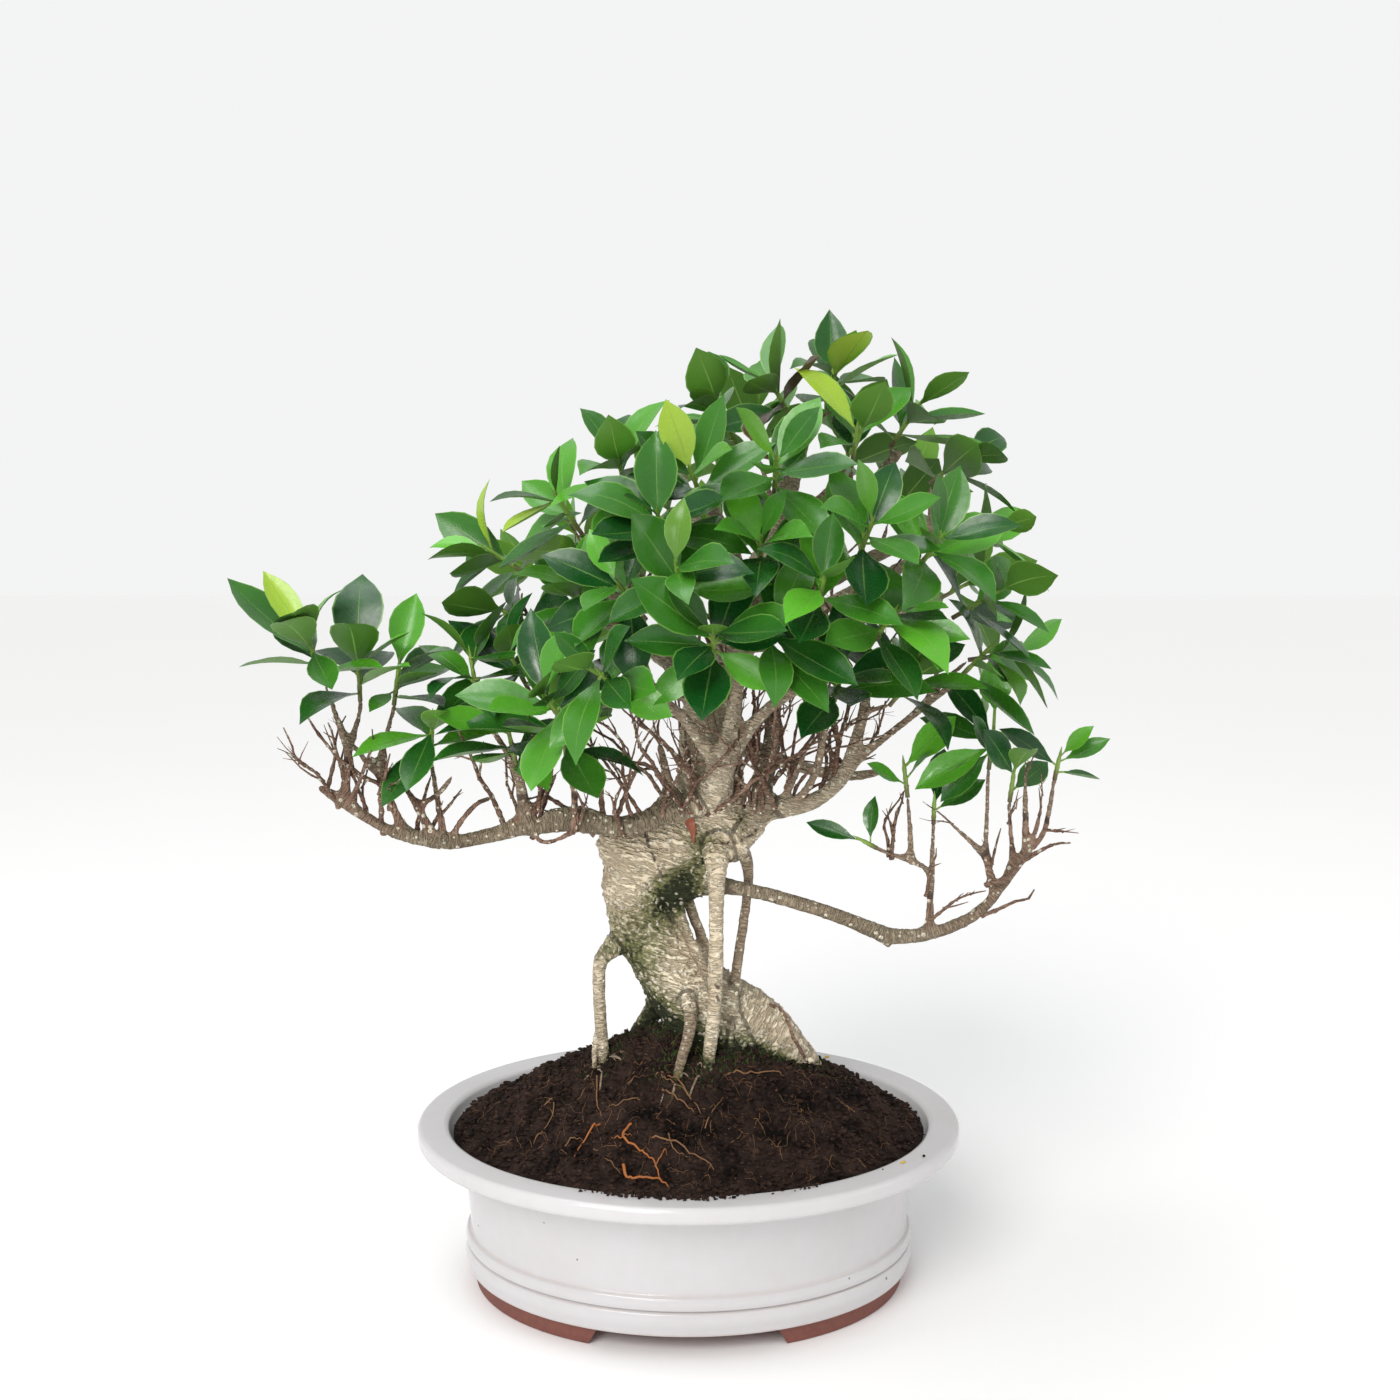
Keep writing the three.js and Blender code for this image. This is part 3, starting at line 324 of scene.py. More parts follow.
class Board:
    """A node tree with short calls for adding and joining nodes."""

    def __init__(self, tree: bpy.types.NodeTree) -> None:
        """Starts on a tree, material or group."""
        self.tree = tree

    def put(self, socket: Socket, value: object) -> None:
        """Links a socket to another, or sets its own value."""
        if isinstance(value, Socket):
            self.tree.links.new(value, socket)
        elif isinstance(value, tuple) and len(value) == 3 and socket.type == "RGBA":
            socket.default_value = (*value, 1.0)
        else:
            socket.default_value = value

    def add(self, kind: str, inputs: dict | None = None, **settings: object) -> bpy.types.Node:
        """Adds a node.

        Args:
            kind: Its type, without the ShaderNode in front.
            inputs: Socket names or numbers, and what each is linked or set to.
            settings: The node's own properties.

        Returns:
            The node.
        """
        node = self.tree.nodes.new("ShaderNode" + kind)
        for name, value in settings.items():
            setattr(node, name, value)
        for name, value in (inputs or {}).items():
            self.put(node.inputs[name], value)
        return node

    def maths(
        self, operation: str, a: object, b: object = 0.0, c: object = 0.0, clamp: bool = False
    ) -> Socket:
        """What a Math node makes of two or three values."""
        node = self.add("Math", {0: a, 1: b, 2: c}, operation=operation, use_clamp=clamp)
        return node.outputs[0]

    def times(self, a: object, b: object, clamp: bool = False) -> Socket:
        """a times b."""
        return self.maths("MULTIPLY", a, b, clamp=clamp)

    def plus(self, a: object, b: object, clamp: bool = False) -> Socket:
        """a plus b."""
        return self.maths("ADD", a, b, clamp=clamp)

    def minus(self, a: object, b: object) -> Socket:
        """a less b."""
        return self.maths("SUBTRACT", a, b)

    def times_plus(self, a: object, b: object, c: object) -> Socket:
        """a times b, plus c."""
        return self.maths("MULTIPLY_ADD", a, b, c)

    def blend(self, share: object, a: object, b: object) -> Socket:
        """Colour a turning into colour b by a share."""
        node = self.add("Mix", data_type="RGBA", blend_type="MIX", clamp_factor=True)
        for index, value in ((0, share), (6, a), (7, b)):
            self.put(node.inputs[index], value)
        return node.outputs[2]

    def span(
        self, value: object, low: float, high: float, to_low: float = 0.0, to_high: float = 1.0
    ) -> Socket:
        """A value carried from one range to another, held at its ends."""
        sockets = {0: value, 1: low, 2: high, 3: to_low, 4: to_high}
        return self.add("MapRange", sockets, interpolation_type="SMOOTHSTEP").outputs[0]

    def ramp(self, value: object, stops: Sequence[tuple[float, Colour]]) -> Socket:
        """A colour read off stops by a value."""
        node = self.add("ValToRGB", {0: value})
        band = node.color_ramp
        while len(band.elements) < len(stops):
            band.elements.new(0.5)
        for element, (place, colour) in zip(band.elements, stops):
            element.position = place
            element.color = (*colour, 1.0)
        return node.outputs[0]

    def grain(self, vector: object, scale: float, detail: float = 4.0, roughness: float = 0.5) -> Socket:
        """Soft noise between 0 and 1."""
        sockets = {"Vector": vector, "Scale": scale, "Detail": detail, "Roughness": roughness}
        return self.add("TexNoise", sockets).outputs[0]

    def attribute(self, name: str) -> Socket:
        """A number marked on the mesh."""
        return self.add("Attribute", attribute_name=name).outputs["Fac"]

    def group(self, tree: bpy.types.NodeTree, inputs: dict) -> bpy.types.Node:
        """Places a shared effect."""
        node = self.tree.nodes.new("ShaderNodeGroup")
        node.node_tree = tree
        for name, value in inputs.items():
            self.put(node.inputs[name], value)
        return node


@dataclass
class SharedEffects:
    """Effects that several finishes use, each a node group made once."""

    made: dict[str, bpy.types.NodeTree] = field(default_factory=dict)

    def _start(
        self, name: str, inputs: Sequence[tuple[str, float]], outputs: Sequence[str]
    ) -> tuple[bpy.types.NodeTree, Board, bpy.types.Node, bpy.types.Node]:
        """A new group with a Vector input, number inputs and number outputs, and its board and end nodes."""
        tree = bpy.data.node_groups.new(name, "ShaderNodeTree")
        sockets = tree.interface
        sockets.new_socket(name="Vector", in_out="INPUT", socket_type="NodeSocketVector")
        for label, value in inputs:
            made = sockets.new_socket(name=label, in_out="INPUT", socket_type="NodeSocketFloat")
            made.default_value = value
        for label in outputs:
            sockets.new_socket(name=label, in_out="OUTPUT", socket_type="NodeSocketFloat")
        board = Board(tree)
        entry = tree.nodes.new("NodeGroupInput")
        leave = tree.nodes.new("NodeGroupOutput")
        self.made[name] = tree
        return tree, board, entry, leave

    def flecks(self) -> bpy.types.NodeTree:
        """Round flecks in some of the cells of a scattered pattern.

        Returns:
            A group with Scale, Share and Radius inputs, and Mask and Dome outputs.
        """
        if "flecks" in self.made:
            return self.made["flecks"]
        labels = [("Scale", 300.0), ("Share", 0.5), ("Radius", 0.3)]
        tree, board, entry, leave = self._start("flecks", labels, ("Mask", "Dome"))
        sockets = {"Vector": entry.outputs["Vector"], "Scale": entry.outputs["Scale"]}
        cells = board.add("TexVoronoi", sockets)
        chosen = board.add("SeparateColor", {0: cells.outputs["Color"]})
        kept = board.maths("LESS_THAN", chosen.outputs[0], entry.outputs["Share"])
        size = board.times(entry.outputs["Radius"], chosen.outputs[1])
        size = board.plus(size, board.times(entry.outputs["Radius"], 0.35))
        near = board.minus(1.0, board.maths("DIVIDE", cells.outputs["Distance"], size))
        dome = board.times(board.maths("MAXIMUM", near, 0.0), kept)
        board.put(leave.inputs["Dome"], dome)
        board.put(leave.inputs["Mask"], board.times(dome, 4.0, clamp=True))
        return tree

    def mottle(self) -> bpy.types.NodeTree:
        """Clouds of tone in two sizes, for colour and roughness that vary.

        Returns:
            A group with Scale and Contrast inputs, and Mask and Fine outputs.
        """
        if "mottle" in self.made:
            return self.made["mottle"]
        labels = [("Scale", 30.0), ("Contrast", 1.0)]
        tree, board, entry, leave = self._start("mottle", labels, ("Mask", "Fine"))
        scale = entry.outputs["Scale"]
        vector = entry.outputs["Vector"]
        wide = board.add("TexNoise", {"Vector": vector, "Scale": scale, "Detail": 5.0})
        fine_scale = board.times(scale, 7.0)
        fine = board.add("TexNoise", {"Vector": vector, "Scale": fine_scale, "Detail": 3.0})
        both = board.times_plus(fine.outputs[0], 0.35, board.times(wide.outputs[0], 0.65))
        centred = board.minus(both, 0.5)
        spread = board.times(centred, board.times(entry.outputs["Contrast"], 3.0))
        board.put(leave.inputs["Mask"], board.plus(spread, 0.5, clamp=True))
        board.put(leave.inputs["Fine"], fine.outputs[0])
        return tree

    def clouds(self, board: Board, place: object, scale: float, contrast: float) -> bpy.types.Node:
        """Puts the mottle in a material and returns its node."""
        return board.group(self.mottle(), {"Vector": place, "Scale": scale, "Contrast": contrast})

    def dots(self, board: Board, place: object, scale: float, share: float, radius: float) -> bpy.types.Node:
        """Puts the flecks in a material and returns their node."""
        return board.group(self.flecks(), {"Vector": place, "Scale": scale, "Share": share, "Radius": radius})


EFFECTS = SharedEffects()


@dataclass(frozen=True)
class Finish:
    """What every finish has: a name, and a shader with constants of its own."""

    name: str
    roughness: float = 0.5
    shine: float = 0.5

    def start(self) -> tuple[bpy.types.Material, Board, bpy.types.Node, Socket]:
        """A new material with its board, its shader and the piece's own coordinates."""
        material = bpy.data.materials.new(self.name)
        material.use_nodes = True
        board = Board(material.node_tree)
        shader = material.node_tree.nodes["Principled BSDF"]
        shader.inputs["Roughness"].default_value = self.roughness
        shader.inputs["Specular IOR Level"].default_value = self.shine
        place = board.add("TexCoord").outputs["Object"]
        return material, board, shader, place

    def uneven(self, board: Board, shader: bpy.types.Node, fine: object, less: float, more: float) -> None:
        """Lets the roughness go from so much less to so much more with a fine noise."""
        rough = board.span(fine, 0.3, 0.7, self.roughness - less, self.roughness + more)
        board.put(shader.inputs["Roughness"], rough)

    @staticmethod
    def relief(board: Board, shader: bpy.types.Node, height: object, depth: float, strength: float) -> None:
        """Turns a height into the shader's normal.

        Args:
            board: The material's board.
            shader: Its shader.
            height: The socket with the height, about 0 to 1.
            depth: How deep 1 is, in metres.
            strength: How much of it shows.
        """
        bump = board.add("Bump", {"Height": height, "Distance": depth, "Strength": strength})
        board.put(shader.inputs["Normal"], bump.outputs[0])


@dataclass(frozen=True)
class GlazeFinish(Finish):
    """White glaze over a brown foot that the glaze stops short of, with thin brownish glaze at its lower edge
    and painted shade lines in the grooves and under the lip.
    """

    glaze: Colour = (0.625, 0.608, 0.625)
    cloudy: Colour = (0.583, 0.562, 0.568)
    # Brownish grey of the lines: thin glaze at the lower edge, painted shade in the grooves between the beads
    # and under the lip.
    thin: Colour = (0.58, 0.49, 0.43)
    speck: Colour = (0.10, 0.07, 0.05)
    clay: Colour = (0.215, 0.073, 0.052)
    clay_dark: Colour = (0.165, 0.055, 0.042)
    line: float = 0.0122
    glaze_and_shade_lines: Rows = (
        (0.0137, 0.0008, 0.60), (0.0287, 0.0007, 0.34), (0.0388, 0.0008, 0.30), (0.0958, 0.0009, 0.35)
    )

    def make(self) -> bpy.types.Material:
        """The pot's material."""
        material, board, shader, place = self.start()
        height = board.add("SeparateXYZ", {0: place}).outputs["Z"]
        wander = board.minus(board.grain(place, 70.0, 5.0, 0.6), 0.5)
        edge = board.times_plus(wander, 0.0045, height)
        glazed = board.span(edge, self.line - 0.0003, self.line + 0.0003)
        clouds = EFFECTS.clouds(board, place, 16.0, 0.8)
        white = board.blend(clouds.outputs["Mask"], self.glaze, self.cloudy)
        # Brownish lines at fixed heights: thin glaze just above the glaze's lower edge, and painted shade in
        # the two grooves between the beads and in the step under the lip.
        line_noise = board.grain(place, 120.0, 4.0)
        for middle, width, amount in self.glaze_and_shade_lines:
            gap = board.maths("ABSOLUTE", board.minus(height, middle))
            stripe = board.span(gap, width * 2.2, width * 0.3)
            glaze_and_shade_share = board.times(stripe, board.span(line_noise, 0.30, 0.70, 0.3 * amount, amount))
            white = board.blend(glaze_and_shade_share, white, self.thin)
        dust = EFFECTS.dots(board, place, 190.0, 0.012, 0.16)
        white = board.blend(board.times(dust.outputs["Mask"], 0.8), white, self.speck)
        clay_tone = board.grain(place, 260.0, 6.0)
        clay = board.ramp(clay_tone, ((0.3, self.clay_dark), (0.7, self.clay)))
        board.put(shader.inputs["Base Color"], board.blend(glazed, clay, white))
        gloss = board.times_plus(clouds.outputs["Fine"], 0.10, self.roughness - 0.05)
        matte = board.times_plus(clay_tone, 0.2, 0.6)
        mixed = board.times_plus(glazed, board.minus(gloss, matte), matte)
        board.put(shader.inputs["Roughness"], mixed)
        wave = board.grain(place, 34.0, 2.0)
        pits = board.times(board.minus(1.0, glazed), clay_tone)
        step = board.times_plus(glazed, 0.5, board.times(wave, 0.5))
        self.relief(board, shader, board.times_plus(pits, 0.5, step), 0.0009, 0.35)
        return material


@dataclass(frozen=True)
class EarthFinish(Finish):
    """Damp peat: near black, with brown bits of fibre."""

    dark: Colour = (0.0045, 0.0030, 0.0026)
    mid: Colour = (0.046, 0.0275, 0.0220)
    brown: Colour = (0.115, 0.062, 0.040)
    fibre: Colour = (0.120, 0.060, 0.038)

    def make(self) -> bpy.types.Material:
        """The soil's material, which also reads a crumb's tone where there is one."""
        material, board, shader, place = self.start()
        tone = board.attribute("tone")
        clouds = EFFECTS.clouds(board, place, 55.0, 1.4)
        base = board.blend(clouds.outputs["Mask"], self.dark, self.mid)
        base = board.blend(board.span(tone, 0.25, 1.0), base, self.brown)
        bits = EFFECTS.dots(board, place, 300.0, 0.36, 0.42)
        base = board.blend(board.times(bits.outputs["Mask"], 0.34), base, self.fibre)
        board.put(shader.inputs["Base Color"], base)
        self.uneven(board, shader, clouds.outputs["Fine"], 0.12, 0.1)
        crumb = board.times_plus(board.grain(place, 900.0, 5.0, 0.65), 0.6, bits.outputs["Dome"])
        self.relief(board, shader, crumb, 0.0018, 1.0)
        return material


@dataclass(frozen=True)
class BarkFinish(Finish):
    """Banyan bark: pale and warty, ringed on roots, brown and pored on twigs, mossy in the damp; the darkest
    moss colour in the hollows and the green on the undersides are partly painted shade.
    """

    pale: Colour = (0.80, 0.695, 0.525)
    tan: Colour = (0.61, 0.50, 0.35)
    shade: Colour = (0.29, 0.225, 0.145)
    limb: Colour = (0.335, 0.275, 0.195)
    limb_dark: Colour = (0.175, 0.137, 0.092)
    ringed_below: float = 0.235
    twig: Colour = (0.155, 0.080, 0.055)
    twig_light: Colour = (0.36, 0.235, 0.168)
    pore: Colour = (0.92, 0.84, 0.67)
    algae: Colour = (0.150, 0.170, 0.045)
    algae_dark: Colour = (0.070, 0.085, 0.022)
    # Near-black moss colour; in the trunk's hollows it is partly moss and partly painted shade.
    moss: Colour = (0.018, 0.024, 0.007)
    crack: Colour = (0.085, 0.050, 0.034)

    def _old(self, board: Board, blotch: Socket, ridge: Socket, crest: Socket, warts: Socket) -> Socket:
        """Thick wood's colour: beige with darker grooves, pale warts and pale ridge tops."""
        base = board.blend(blotch, self.pale, self.tan)
        groove = board.times(board.minus(1.0, ridge), 0.58)
        base = board.blend(groove, base, self.shade)
        light = board.maths("MAXIMUM", crest, board.times(warts, 0.85))
        return board.blend(light, base, self.pore)

    def _young(self, board: Board, blotch: Socket, ridge: Socket, slim: Socket, pores: Socket) -> Socket:
        """The colour of air roots, limbs and twigs, redder the thinner they are."""
        limb = board.blend(blotch, self.limb, self.limb_dark)
        root = board.blend(blotch, self.pale, self.tan)
        limb = board.blend(board.attribute("rooted"), limb, root)
        limb = board.blend(board.times(board.minus(1.0, ridge), 0.30), limb, self.shade)
        thin = board.blend(blotch, self.twig, self.twig_light)
        return board.blend(board.times(pores, 0.97), board.blend(slim, limb, thin), self.pore)

    def make(self) -> bpy.types.Material:
        """The material of the trunk, roots, limbs and twigs."""
        material, board, shader, place = self.start()
        girth, damp = board.attribute("girth"), board.attribute("damp")
        thick = board.span(girth, 0.0062, 0.0108)
        thin = board.minus(1.0, thick)
        above = board.times_plus(board.attribute("rooted"), -0.8, 1.0)
        slim = board.times(board.span(girth, 0.0050, 0.0019), above)
        quick = board.times(board.attribute("along"), 620.0)
        near = board.add("VectorMath", {0: place, 3: 150.0}, operation="SCALE").outputs[0]
        ring_sockets = {"Vector": near, "W": quick, "Scale": 1.0, "Detail": 2.0, "Roughness": 0.55}
        rings = board.add("TexNoise", ring_sockets, noise_dimensions="4D").outputs[0]
        ridge = board.span(rings, 0.40, 0.58)
        low = board.add("SeparateXYZ", {0: place}).outputs["Z"]
        ringed = board.span(low, self.ringed_below + 0.02, self.ringed_below - 0.02, 0.30, 1.0)
        crest = board.times(board.span(rings, 0.54, 0.68, 0.0, 0.8), ringed)
        clouds = EFFECTS.clouds(board, place, 55.0, 1.2)
        blotch = clouds.outputs["Mask"]
        warts = EFFECTS.dots(board, place, 260.0, 0.66, 0.40)
        pores = EFFECTS.dots(board, place, 255.0, 0.62, 0.34)
        old = self._old(board, blotch, ridge, crest, warts.outputs["Mask"])
        base = board.blend(thick, self._young(board, blotch, ridge, slim, pores.outputs["Mask"]), old)
        edge = board.minus(clouds.outputs["Fine"], 0.5)
        wet = board.times_plus(edge, 1.1, damp)
        raised = board.maths("MAXIMUM", warts.outputs["Mask"], board.times(crest, 0.6))
        keep = board.minus(1.0, board.times(raised, 0.8))
        green = board.times(board.span(wet, 0.18, 0.72, 0.0, 0.86), keep)
        base = board.blend(green, base, board.blend(blotch, self.algae, self.algae_dark))
        keep = board.minus(1.0, board.times(warts.outputs["Mask"], 0.78))
        # The near-black moss colour where the wood is wettest, in the hollows: partly moss, partly painted
        # shade.
        deep = board.span(wet, 0.66, 0.98, 0.0, 0.97)
        base = board.blend(board.times(deep, keep), base, self.moss)
        crack = board.span(board.attribute("crack"), 0.25, 0.75)
        base = board.blend(board.times(crack, 0.8), base, self.crack)
        board.put(shader.inputs["Base Color"], base)
        self.uneven(board, shader, clouds.outputs["Fine"], 0.08, 0.1)
        lift = board.times_plus(warts.outputs["Dome"], board.times(thick, 1.7), ridge)
        lift = board.times_plus(pores.outputs["Dome"], thin, lift)
        lift = board.times_plus(board.grain(place, 900.0, 4.0, 0.65), 0.5, lift)
        lift = board.times_plus(crack, -1.6, lift)
        self.relief(board, shader, lift, 0.0021, 1.0)
        return material


class Side(Enum):
    """A leaf's side: how far its veins and midrib take the rib's colour, and how far they stand out."""

    UPPER = (0.035, 0.38, -0.08, -0.8)
    LOWER = (0.20, 0.9, 0.35, 0.8)


@dataclass(frozen=True)
class LeafFinish(Finish):
    """A leathery leaf with a pale midrib, fine side veins and a thin pale margin."""

    side: Side = Side.UPPER
    dark: Colour = (0.0050, 0.066, 0.0090)
    light: Colour = (0.118, 0.450, 0.027)
    young: Colour = (0.35, 0.54, 0.040)
    withered: Colour = (0.080, 0.030, 0.024)
    rib: Colour = (0.22, 0.44, 0.085)
    veins: float = 15.0

    def make(self) -> bpy.types.Material:
        """The material of one side of every leaf, varied by the marks on each."""
        material, board, shader, place = self.start()
        vein_tint, rib_tint, vein_lift, rib_lift = self.side.value
        spread = board.add("UVMap", uv_map="blade").outputs[0]
        parts = board.add("SeparateXYZ", {0: spread})
        across = board.maths("ABSOLUTE", board.minus(parts.outputs[0], 0.5))
        tone = board.attribute("tone")
        age = board.attribute("age")
        clouds = EFFECTS.clouds(board, place, 42.0, 0.7)
        soft = board.minus(board.grain(place, 32.0, 1.0), 0.5)
        shift = board.times_plus(soft, 0.35, tone)
        base = board.blend(shift, self.dark, self.light)
        base = board.blend(board.span(age, 0.0, 1.0), base, self.young)
        dry = board.span(age, 0.0, -1.0)
        base = board.blend(dry, base, self.withered)
        slope = board.times_plus(across, -0.75, parts.outputs[1])
        wave = board.maths("FRACT", board.times(slope, self.veins))
        off = board.maths("ABSOLUTE", board.minus(wave, 0.5))
        line = board.span(off, 0.11, 0.0)
        fade = board.span(across, 0.47, 0.05, 0.15, 1.0)
        vein = board.times(line, fade)
        base = board.blend(board.times(vein, vein_tint), base, self.rib)
        taper = board.span(parts.outputs[1], 0.0, 1.0, 0.026, 0.007)
        rib = board.span(board.maths("DIVIDE", across, taper), 1.25, 0.65)
        base = board.blend(board.times(rib, rib_tint), base, self.rib)
        rim = board.span(across, 0.458, 0.484)
        base = board.blend(board.times(rim, 0.62), base, self.rib)
        board.put(shader.inputs["Base Color"], base)
        self.uneven(board, shader, clouds.outputs["Fine"], 0.03, 0.07)
        raised = board.times_plus(vein, vein_lift, board.times(rib, rib_lift))
        raised = board.times_plus(board.grain(place, 75.0, 2.0), 1.2, raised)
        self.relief(board, shader, raised, 0.0005, 0.5)
        return material


@dataclass(frozen=True)
class PlainFinish(Finish):
    """Small growing or moulded things: two tones in soft clouds, with a fine relief."""

    first: Colour = (0.2, 0.2, 0.2)
    second: Colour = (0.1, 0.1, 0.1)
    scale: float = 120.0
    depth: float = 0.0005
    toned: str = ""

    def make(self) -> bpy.types.Material:
        """The material; a toned one also leans to its second colour by the mark of that name."""
        material, board, shader, place = self.start()
        clouds = EFFECTS.clouds(board, place, self.scale, 1.3)
        share = clouds.outputs["Mask"]
        if self.toned:
            share = board.times_plus(board.attribute(self.toned), 0.75, board.times(share, 0.3))
        board.put(shader.inputs["Base Color"], board.blend(share, self.first, self.second))
        self.uneven(board, shader, clouds.outputs["Fine"], 0.08, 0.08)
        self.relief(board, shader, clouds.outputs["Fine"], self.depth, 0.6)
        return material


def half_width(half_length: float) -> float:
    """The oval's half width at a half length: the walls are parallel, and the floor narrows in proportion."""
    return half_length - 36.0 if half_length >= 100 else half_length * 0.64


def rounded(section: Sequence[tuple[float, float, float]], steps: int = 4) -> list[tuple[float, float]]:
    """A profile with its corners rounded.

    Args:
        section: Half length, height and corner radius of each point.
        steps: Points on each rounded corner.

    Returns:
        Half lengths and heights.
    """
    found = [section[0][:2]]
    for before, corner, after in zip(section, section[1:], section[2:]):
        here = Vector(corner[:2])
        back = Vector(before[:2]) - here
        on = Vector(after[:2]) - here
        reach = min(corner[2], back.length * 0.45, on.length * 0.45)
        if reach <= 0:
            found.append(corner[:2])
            continue
        start, end = here + back.normalized() * reach, here + on.normalized() * reach
        for step in range(steps + 1):
            share = step / steps
            place = start * (1 - share) ** 2 + here * 2 * share * (1 - share) + end * share**2
            found.append((place.x, place.y))
    return [*found, section[-1][:2]]


@dataclass
class Pot:
    """The oval pot: a brown foot with a gap at front and back, two beads, a curved wall and a wide lip."""

    sides: int = 176
    section: Rows = (
        (40, 11, 0), (127, 11, 1), (129.5, 0.2, 1), (130.5, 0, 0.6), (142.2, 0, 0.8), (143.2, 1, 0.6),
        (144.2, 11.2, 0.8), (145.6, 12.2, 1), (148.0, 13.2, 1.2), (148.9, 17, 2), (150.1, 22, 4),
        (148.9, 27.9, 0.9), (146.2, 28.8, 0.6), (148.9, 29.9, 0.9), (149.7, 33.5, 3),
        (148.6, 37.6, 0.9), (146.2, 38.9, 1.0), (146.9, 56, 10), (149.6, 78, 8), (151.6, 90.5, 3),
        (157, 93.6, 3), (169, 96.2, 2.2), (178.6, 99.4, 2), (180, 101.4, 1.6), (180, 108.0, 2),
        (178, 110, 1.8), (162.2, 110, 2.4), (159.6, 108.4, 2), (157.6, 102.5, 3), (143.5, 88, 5),
        (139.5, 46, 6), (130, 20, 5), (40, 20, 0),
    )
    gap_half: float = 56.0
    gap_slant: float = 7.0
    gap_at: float = 106.0
    gap_deep: float = 66.0
    foot_height: float = 11.6
    drain_x: float = 62.0
    drain_radius: float = 11.0
    finish: Finish = GlazeFinish("white_glaze", 0.12, 0.5)

    def _wall(self) -> Piece:
        """The oval wall and floor, drawn up ring by ring from a circle."""
        rings = rounded(self.section)
        first = rings[0]
        start = {"radius": first[0] * MM, "location": point(0, 0, first[1])}
        bpy.ops.mesh.primitive_circle_add(vertices=self.sides, **start)
        pot = place_applied(bpy.context.object)
        with editing(pot):
            squeeze = (1, half_width(first[0]) / first[0], 1)
            bpy.ops.transform.resize(value=squeeze, center_override=tuple(POT_CENTRE))
            bpy.ops.mesh.edge_face_add()
            for (r, z), (wide, high) in zip(rings, rings[1:]):
                bpy.ops.mesh.extrude_region_move(TRANSFORM_OT_translate={"value": (0, 0, (high - z) * MM)})
                size = (wide / r, half_width(wide) / half_width(r), 1)
                bpy.ops.transform.resize(value=size, center_override=tuple(point(0, 0, high)))
            face_outward()
        return pot

    def _cut(self, pot: Piece, tool: Piece) -> None:
        """Takes a tool's shape out of the pot."""
        apply_modifier(pot, "BOOLEAN", operation="DIFFERENCE", solver="EXACT", object=tool)
        bpy.data.objects.remove(tool)

    def _gap_tool(self, side: int) -> Piece:
        """A block with slanting ends, for the gap between the feet at the front or back."""
        high = self.foot_height + 2
        middle = point(0, side * self.gap_at, self.foot_height - high / 2)
        bpy.ops.mesh.primitive_cube_add(size=1, location=middle)
        block = bpy.context.object
        block.scale = (2 * self.gap_half * MM, self.gap_deep * MM, high * MM)
        place_applied(block)
        with editing(block):
            pick_faces(block, lambda middle: middle.z < 0)
            widened = (self.gap_half + self.gap_slant) / self.gap_half
            below = tuple(point(0, side * self.gap_at, 0))
            bpy.ops.transform.resize(value=(widened, 1, 1), center_override=below)
        return block

    def make(self) -> Piece:
        """Models and dresses the pot."""
        pot = self._wall()
        for side in (-1, 1):
            self._cut(pot, self._gap_tool(side))
            drill_at = point(side * self.drain_x, 0, 15)
            radius = self.drain_radius * MM
            bpy.ops.mesh.primitive_cylinder_add(vertices=48, radius=radius, depth=0.03, location=drill_at)
            self._cut(pot, bpy.context.object)
        merge_doubles(pot)
        sharp = math.radians(55)
        apply_modifier(pot, "BEVEL", width=0.0007, segments=2, limit_method="ANGLE", angle_limit=sharp)
        smooth(pot, 40)
        pot.data.materials.append(self.finish.make())
        settle(pot, "oval_pot")
        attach(pot, "root")
        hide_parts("pot")
        return pot


@dataclass
class DrainNet:
    """A square of moulded plastic net over a drainage hole."""

    node: str
    across: int = 13
    bar: float = 1.1
    finish: Finish = PlainFinish("net_plastic", 0.5, 0.4, (0.016, 0.020, 0.017), (0.03, 0.035, 0.03), 300.0)

    def make(self, material: bpy.types.Material) -> Piece:
        """Models the net in the space of its solid."""
        low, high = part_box(self.node)
        middle = (low + high) / 2
        size = high.x - low.x - self.bar * MM
        cells = self.across
        split = {"x_subdivisions": cells, "y_subdivisions": cells}
        bpy.ops.mesh.primitive_grid_add(size=size, location=middle, **split)
        net = bpy.context.object
        apply_modifier(net, "WIREFRAME", thickness=self.bar * MM, use_even_offset=True)
        with editing(net):
            squeeze = (1, 1, 0.9 * (high.z - low.z) / (self.bar * MM))
            bpy.ops.transform.resize(value=squeeze, center_override=(0, 0, 0))
        net.data.materials.append(material)
        smooth(net, 40)
        settle(net, self.node.replace("mesh", "drain_net"))
        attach(net, "root")
        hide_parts(self.node)
        return net


